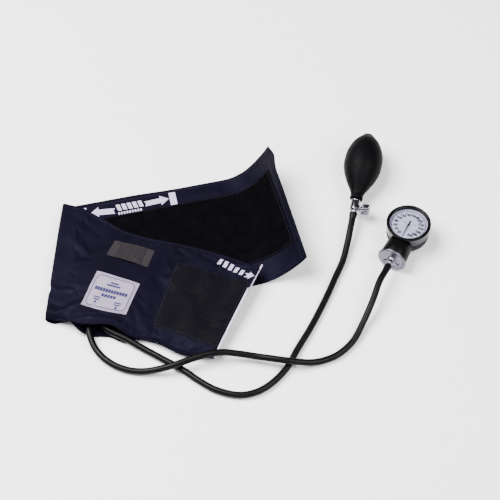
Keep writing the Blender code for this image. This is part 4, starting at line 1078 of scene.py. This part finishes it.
def add_stitch(bm, a, b):
    """One stitch: a slim six-sided pod from a to b."""
    run = b - a
    side = run.cross(Vector((0, 0, 1))).normalized()
    up = side.cross(run).normalized()
    rings = []
    for t, r in ((0.12, 0.8), (0.5, 1.0), (0.88, 0.8)):
        centre = a + run * t
        ring = []
        for k in range(STITCH_SIDES):
            angle = 2 * math.pi * k / STITCH_SIDES
            outward = side * math.cos(angle) + up * math.sin(angle)
            ring.append(bm.verts.new(centre + outward * STITCH_RADIUS * r))
        rings.append(ring)
    for low, high in zip(rings, rings[1:]):
        for k in range(STITCH_SIDES):
            bm.faces.new((low[k - 1], low[k], high[k], high[k - 1]))
    for tip, ring in ((a, rings[0]), (b, rings[-1])):
        point = bm.verts.new(tip)
        for k in range(STITCH_SIDES):
            bm.faces.new((ring[k - 1], ring[k], point))


def patch_path(corners, u, v, sag=0.0):
    """Closed path just inside a patch, u and v being shares of its width and height."""
    rim = [(u, v), (1 - u, v), (1 - u, 1 - v), (u, 1 - v)]
    spots = []
    for (u0, v0), (u1, v1) in zip(rim, rim[1:] + rim[:1]):
        spots += [(lerp(u0, u1, k / 12), lerp(v0, v1, k / 12)) for k in range(13)]
    return [corner_blend(corners, *spot, sag) for spot in spots]


def build_stitching(leg_surface, tail_surface):
    """Seams round the patches, across the strap's ends and along the cuff's edges."""
    bm = bmesh.new()
    stitch_row(bm, patch_path(HOOK_CORNERS, 0.02, 0.018), leg_surface)
    stitch_row(bm, patch_path(LABEL_CORNERS, 0.025, 0.028, LABEL_SAG), leg_surface)
    for u in (0.03, 0.15, 0.85, 0.97):
        stitch_row(bm, [corner_blend(STRAP_CORNERS, u, v) for v in (0.06, 0.94)], leg_surface)
    for v in (0.975, 0.03):
        edge = [leg_spot(k / 24, v) for k in range(25)]
        for run in zip(edge, edge[1:]):
            in_mouth = any(MOUTH_START < along < MOUTH_END for along, _ in run)
            if v > 0.5 or not in_mouth:
                stitch_row(bm, run, leg_surface)
    add_piece("leg_stitching", bm, THREAD, recalc=False)

    bm = bmesh.new()
    left, (bottom, top) = PILE_START, PILE_SIDE
    share = [(side - TAIL_BOTTOM) / (TAIL_TOP - TAIL_BOTTOM) for side in (bottom, top)]
    right = [lerp(TAIL_END_BOTTOM, TAIL_END_TOP, s) - PILE_MARGIN for s in share]
    low, high = bottom + PILE_SEAM, top - PILE_SEAM
    rim = [(left, low), (right[0] - PILE_SEAM, low), (right[1] - PILE_SEAM, high), (left, high)]
    stitch_row(bm, rim, tail_surface)
    hem = [(tail_spot(1, v)[0] - HEM_STITCH, tail_spot(1, v)[1]) for v in (0.02, 0.25, 0.5, 0.75, 0.98)]
    stitch_row(bm, hem, tail_surface)
    for across in (TAIL_BOTTOM + 5.0, TAIL_TOP - 5.0):
        stitch_row(bm, [(-150, across), (-60, across), (0, across), (50, across)], tail_surface)
    add_piece("tail_stitching", bm, THREAD, recalc=False)


def build_cuff():
    """All of the cuff's cloth."""
    shell = build_shell()
    build_lining()
    build_tail_face()
    bpy.context.view_layer.update()
    leg_height = height_over(shell)
    leg_surface = on_surface(LEG, leg_height, 0.3)
    build_patches(leg_surface)
    build_index_strip()
    bpy.context.view_layer.update()
    objects = bpy.data.objects
    patches = [objects[name] for name in ("hook_tape_face", "label_face", "gauge_strap_webbing")]
    hook_or_leg = highest([shell] + patches)
    tail_or_pile = highest([objects["cuff_tail_face"], objects["loop_pile_face"]])
    print_index(on_surface(LEG, leg_height, 0.08))
    print_range(on_surface(TAIL, tail_or_pile, 0.08))
    print_label(on_surface(LEG, height_over(objects["label_face"]), 0.06))
    build_stitching(on_surface(LEG, hook_or_leg, 0.05), on_surface(TAIL, tail_or_pile, 0.05))


def highest(objects):
    """Height of the highest of several surfaces above a plan point."""
    heights = [height_over(obj) for obj in objects]

    def height(plan):
        found = [z for z in (h(plan) for h in heights) if z is not None]
        return max(found) if found else None

    return height


# ----- gauge

CASE_RADIUS, CASE_BACK, CASE_TOP = 23.6, 3.4, 17.2
BAND_TOP, BEZEL_RADIUS, BEZEL_INSIDE, BEZEL_TOP = 28.4, 24.7, 21.1, 31.0
NECK_END, CAP_FACE, CAP_RADIUS = -41.0, -44.6, 16.6
DIAL_LEVEL = 26.0
FULL_SCALE, FULL_SWEEP = 300, 330.0
NUMBER_SIZE, NUMBER_WEIGHT, NUMBER_RADIUS = 4.3, 0.26, 14.2
PRINT_LIFT = 0.03


def build_gauge():
    """Visible parts of the gauge, finer than in the CAD."""
    neck = GAUGE @ Matrix.Translation((0, 0, NECK_AXIS))
    build_case(neck)
    band = [(CASE_TOP + GAP, 22.2), (CASE_TOP + GAP, 23.3), (CASE_TOP + 0.7, 23.8), (CASE_TOP + 1.6, 23.55),
            (BAND_TOP - 1.6, 23.7), (BAND_TOP - 0.7, 23.95), (BAND_TOP, 23.5), (BAND_TOP, 22.2)]
    band = rounded(band, 0.4)
    replace_turned("case_band", "gauge_band_chrome", band, GAUGE, "Z", BAND_CHROME_PAINTED_DARK)
    bezel = [(BAND_TOP + GAP, 22.4), (BAND_TOP + GAP, 23.7), (BAND_TOP + 0.9, BEZEL_RADIUS),
             (BEZEL_TOP - 0.9, BEZEL_RADIUS), (BEZEL_TOP, BEZEL_RADIUS - 0.8),
             (BEZEL_TOP, BEZEL_RADIUS - 2.2), (BEZEL_TOP - 1.0, BEZEL_INSIDE),
             (BAND_TOP + 1.2, BEZEL_INSIDE), (BAND_TOP + 1.2, 22.4)]
    replace_turned("bezel", "gauge_bezel_ring", rounded(bezel, 0.5), GAUGE, "Z", BLACK_CASE)
    lens = [(BAND_TOP - 0.4, 0), (BAND_TOP - 0.4, 21.6), (BAND_TOP + 0.8, 21.6), (BAND_TOP + 0.9, 0)]
    replace_turned("gauge_lens", "gauge_lens_disc", lens, GAUGE, "Z", LENS, closed=False)
    dial = [(DIAL_LEVEL - 0.6, 1.2), (DIAL_LEVEL - 0.6, 21.9), (DIAL_LEVEL, 21.9), (DIAL_LEVEL, 1.2)]
    replace_turned("dial_plate", "gauge_dial_disc", dial, GAUGE, "Z", DIAL_WHITE)
    build_dial_scale()
    build_dial_numbers()
    build_pointer()
    build_neck_fittings(neck)


def replace_turned(node, name, profile, place, along, look, closed=True, body=ROOT, segments=96,
                   change=None):
    """A fine turned piece in place of its CAD node."""
    bm = turned(profile, place, along, segments, closed, change)
    piece = add_piece(name, bm, look, body)
    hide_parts(node)
    return piece


def build_case(neck):
    """Black cup with the neck that holds the capsule."""
    cup = rounded([(CASE_BACK, 0), (CASE_BACK, 17.4), (5.2, 20.8), (8.0, 22.8), (11.0, 23.5),
                   (CASE_TOP, CASE_RADIUS), (CASE_TOP, 21.9), (6.0, 20.6), (6.0, 0)], 1.2)
    case = add_piece("gauge_case_cup", turned(cup, GAUGE, "Z", 96), BLACK_CASE)
    tube = turned([(-15.0, 12.8), (-15.0, 13.9), (-30.0, 14.6), (NECK_END + 0.6, 15.2), (NECK_END, 14.9),
                   (NECK_END, 12.8)], neck, "Y", 96, True)
    collar = add_piece("gauge_neck_tube", tube, BLACK_CASE)
    cutter_bm = turned([(6.2, 0), (6.2, 20.9), (CASE_TOP, 22.3), (CASE_TOP, BEZEL_RADIUS + 0.35),
                        (36, BEZEL_RADIUS + 0.35), (36, 0)], GAUGE, "Z", 96)
    bore_bm = turned([(-10.0, 0), (-10.0, 12.7), (NECK_END - 1, 12.7), (NECK_END - 1, 0)], neck, "Y", 64)
    cut(collar, cutter_bm)
    cut(case, bore_bm)
    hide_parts("gauge_case")


def cut(obj, cutter_bm):
    """Cut a shape from an object and keep only the result."""
    bmesh.ops.recalc_face_normals(cutter_bm, faces=cutter_bm.faces)
    cutter = new_mesh("cutter", cutter_bm)
    cutter.matrix_world = obj.matrix_world
    modifier = obj.modifiers.new("cut", "BOOLEAN")
    modifier.object = cutter
    modifier.operation = "DIFFERENCE"
    modifier.solver = "EXACT"
    bpy.context.view_layer.update()
    result = bpy.data.meshes.new_from_object(evaluated(obj))
    obj.modifiers.remove(modifier)
    obj.data = result
    bpy.data.objects.remove(cutter, do_unlink=True)
    smooth(result)


def dial_point(value, radius):
    """Point of the dial at a pressure and a radius, in the gauge's axes: 0 is at 6 o'clock."""
    angle = math.radians(FULL_SWEEP * value / FULL_SCALE)
    return Vector((-math.sin(angle) * radius, -math.cos(angle) * radius))


def flat_on_dial(outlines, level):
    """Flat shapes at a level above the dial."""
    bm = bmesh.new()
    for outline in outlines:
        face = bm.faces.new([bm.verts.new((x, y, level)) for x, y in outline])
        face.normal_update()
        if face.normal.z < 0:
            face.normal_flip()
    bmesh.ops.transform(bm, matrix=GAUGE, verts=bm.verts)
    return bm


def build_dial_scale():
    """Ticks every 2 and 10, a thin scale ring and three short bars."""
    ticks = []
    for value in range(0, FULL_SCALE + 1, 2):
        major, middle = value % 20 == 0, value % 10 == 0
        inner = 17.4 if major else 17.7 if middle else 18.3
        width = 0.75 if major else 0.5 if middle else 0.28
        a, b = dial_point(value, inner), dial_point(value, 19.5)
        ticks.append(bar(a.x, a.y, b.x, b.y, width))
    ring = [dial_point(value, 19.6) for value in range(0, FULL_SCALE + 1, 2)]
    ticks += [bar(a.x, a.y, b.x, b.y, 0.2) for a, b in zip(ring, ring[1:])]
    ticks += [level_bar(-5.8, 2.4, 4.8, 0.5), level_bar(5.8, 2.4, 4.8, 0.5), level_bar(-5.0, 0.8, 3.2, 0.35)]
    bm = flat_on_dial(ticks, DIAL_LEVEL + PRINT_LIFT)
    add_piece("dial_scale", bm, INK_BLACK, recalc=False)


def build_dial_numbers():
    """Numbers every 20."""
    bm = bmesh.new()
    for value in range(20, FULL_SCALE + 1, 20):
        text = bpy.data.curves.new("number", "FONT")
        text.body = str(value)
        text.size = NUMBER_SIZE
        text.offset = NUMBER_WEIGHT
        text.align_x, text.align_y = "CENTER", "CENTER"
        text.resolution_u = 2
        made = new_object("number", text)
        bpy.context.view_layer.update()
        mesh = bpy.data.meshes.new_from_object(evaluated(made))
        spot = dial_point(value, NUMBER_RADIUS)
        mesh.transform(GAUGE @ Matrix.Translation((spot.x, spot.y, DIAL_LEVEL + PRINT_LIFT)))
        bm.from_mesh(mesh)
        bpy.data.objects.remove(made, do_unlink=True)
    add_piece("dial_numbers", bm, INK_BLACK, recalc=False)


def build_pointer():
    """Slim black hand with a domed hub."""
    level = DIAL_LEVEL + 0.75
    blade = [(-0.2, -17.6), (0.2, -17.6), (0.6, -1.0), (0.75, 6.0), (-0.75, 6.0), (-0.6, -1.0)]
    bm = bmesh.new()
    low = [bm.verts.new((x, y, level)) for x, y in blade]
    high = [bm.verts.new((x, y, level + 0.4)) for x, y in blade]
    bm.faces.new(low)
    bm.faces.new(high)
    for k in range(len(blade)):
        n = (k + 1) % len(blade)
        bm.faces.new((low[k], low[n], high[n], high[k]))
    bmesh.ops.transform(bm, matrix=GAUGE, verts=bm.verts)
    hand = add_piece("gauge_hand", bm, INK_BLACK, "hand")
    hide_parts("pointer")
    hub = [(level - 0.4, 0), (level - 0.4, 1.3), (level + 0.5, 1.25), (level + 0.85, 0.8), (level + 0.95, 0)]
    hub = turned(rounded(hub, 0.3), GAUGE, "Z", 32)
    add_piece("gauge_hand_hub", hub, INK_BLACK, "hand")


def build_neck_fittings(neck):
    """Nickel end cap with its hub and slots, and the barbed nipple."""
    rim = NECK_END - 1.3
    cap = [(rim + 2.4, 1.5), (rim + 2.4, 12.1), (rim, 12.1), (rim, 15.9), (rim - 0.6, CAP_RADIUS),
           (CAP_FACE + 0.9, CAP_RADIUS), (CAP_FACE, CAP_RADIUS - 1.1), (CAP_FACE, 12.0),
           (CAP_FACE + 0.9, 10.6), (CAP_FACE + 0.9, 5.6), (CAP_FACE, 4.8), (CAP_FACE - 1.7, 4.1),
           (CAP_FACE - 2.2, 3.4), (CAP_FACE - 2.2, 1.5)]
    cap = rounded(cap, 0.5)
    end_cap = replace_turned("capsule_cap", "capsule_end_cap", cap, neck, "Y", NICKEL)
    for turn in (30, 150, 270):
        slot = bmesh.new()
        bmesh.ops.create_cube(slot, size=1.0)
        bmesh.ops.scale(slot, vec=(4.6, 4.2, 1.9), verts=slot.verts)
        place = neck @ Matrix.Translation((0, CAP_FACE, 0)) @ Matrix.Rotation(math.radians(turn), 4, "Y")
        bmesh.ops.transform(slot, matrix=place @ Matrix.Translation((8.4, 0, 0)), verts=slot.verts)
        cut(end_cap, slot)
    root = CAP_FACE - 2.2 - GAP
    nipple = [(root, 0.9), (root, 2.5), (-48.2, 2.9), (-49.0, 2.9), (-49.8, 2.3), (-52.9, 2.3), (-55.5, 2.0),
              (-55.8, 2.5), (-58.0, 2.0), (-58.3, 2.5), (-60.5, 1.7), (-60.5, 0.9)]
    replace_turned("hose_nipple", "hose_nipple_barb", rounded(nipple, 0.2), neck, "Y", CHROME,
                   segments=48)


# ----- bulb and release valve

BULB_OUTLINE = ((-45.4, 4.3), (-45.6, 5.4), (-45.3, 6.9), (-44.5, 7.45), (-43.3, 7.5), (-42.1, 7.25),
                (-40.8, 7.05), (-39.0, 7.15), (-36.6, 7.9), (-32.0, 10.1), (-24.6, 14.1), (-15.2, 18.3),
                (-6.0, 20.9), (3.2, 21.4), (13.4, 20.4), (22.8, 17.3), (29.4, 13.6), (33.6, 9.9),
                (35.4, 8.1), (36.4, 7.3), (36.8, 6.3), (36.6, 4.3))
BULB_WALL, BULB_LIP = 2.2, 36.6
FLUTES, FLUTE_DEPTH = 18, 0.5


def build_bulb():
    """Rubber bulb with a lip and a faint mould line, its intake plug and the release valve."""
    profile = smooth_route([(y, r, 0) for y, r in BULB_OUTLINE], 0.9)
    outer = [(p.x, p.y) for p in profile]
    inner = [(y, max(r - BULB_WALL, 4.1)) for y, r in reversed(outer[6:-4])]

    def mould_line(height, angle):
        return 0.12 * math.exp(-(math.sin(angle) / 0.03) ** 2) * ease((height + 38) / 6)

    replace_turned("inflation_bulb", "bulb_body", outer + inner, BULB, "Y", BULB_RUBBER,
                   segments=112, change=mould_line)
    lip = BULB_LIP
    plug = [(lip + GAP, 3.8), (lip + GAP, 5.6), (lip + 1.3, 5.9), (lip + 1.9, 5.4), (lip + 2.1, 4.6),
            (lip + 1.4, 3.4), (lip + 1.4, 1.9), (lip + 2.1, 1.5), (lip + 2.1, 1.1), (lip - 1.4, 1.1),
            (lip - 2.6, 2.1), (lip - 7.6, 2.1), (lip - 7.6, 0.9), (lip - 8.6, 0.9), (lip - 8.6, 3.8)]
    replace_turned("intake_valve_body", "intake_plug", rounded(plug, 0.25), BULB, "Y", BULB_RUBBER,
                   segments=64)
    build_release_valve()


def build_release_valve():
    """Chrome valve body, bonnet and fluted knob."""
    body = [(-39.4, 1.1), (-39.4, 3.8), (-45.7, 3.8), (-45.7, 4.9), (-46.4, 5.2), (-47.6, 5.2), (-47.9, 5.0),
            (-48.2, 5.2), (-58.4, 5.2), (-59.0, 4.7), (-60.4, 3.1), (-61.8, 2.7), (-62.4, 2.6), (-66.0, 2.3),
            (-66.3, 2.7), (-69.0, 2.2), (-69.3, 2.7), (-70.5, 1.9), (-70.5, 1.0), (-51.6, 1.0), (-50.6, 2.1),
            (-45.6, 2.1), (-45.6, 1.1)]
    valve = replace_turned("release_valve_body", "valve_barrel", rounded(body, 0.25), BULB, "Y", CHROME,
                           segments=72)
    screw = BULB @ Matrix.Translation((0, SCREW_STATION, 0))
    bore = turned([(0.2, 0), (0.2, 1.3), (3.2, 1.3), (3.2, 2.3), (7.0, 2.3), (7.0, 0)], screw, "X", 32)
    cut(valve, bore)
    bonnet = [(5.45, 1.3), (5.45, 3.3), (6.1, 3.3), (6.85, 2.8), (6.85, 1.3)]
    replace_turned("valve_bonnet", "screw_bonnet", rounded(bonnet, 0.25), screw, "X", CHROME,
                   segments=40)

    def flutes(height, angle):
        fluted = 8.0 < height < 16.1
        return -FLUTE_DEPTH * (0.5 - 0.5 * math.cos(FLUTES * angle)) ** 0.6 if fluted else 0.0

    knob = [(11.2, 0), (11.2, 1.4), (7.3, 1.4), (7.3, 4.2), (7.5, 4.9), (8.1, 5.9), (8.5, 6.0), (15.5, 6.0),
            (15.9, 5.9), (16.5, 5.3), (16.8, 4.6), (16.8, 3.2), (16.4, 2.8), (16.4, 0)]
    replace_turned("release_knob", "fluted_knob", knob, screw, "X", CHROME, closed=False,
                   body="knob", segments=180, change=flutes)


# ----- carried-over CAD nodes

SLOT_LOOKS = {"bladder_rubber": INNER_RUBBER, "seal_rubber": INNER_RUBBER, "brass": BRASS, "steel": STEEL}


def dress_cad_nodes():
    """Procedural materials for the nodes that keep their CAD shape, by their slot in the record."""
    for part in frame["record"]["subparts"]:
        if part["material_slot"] in SLOT_LOOKS:
            for slot in frame["nodes"][part["node"]].material_slots:
                slot.material = SLOT_LOOKS[part["material_slot"]]


set_camera()
set_lights()
set_floor()
build_hoses()
build_cuff()
build_gauge()
build_bulb()
dress_cad_nodes()
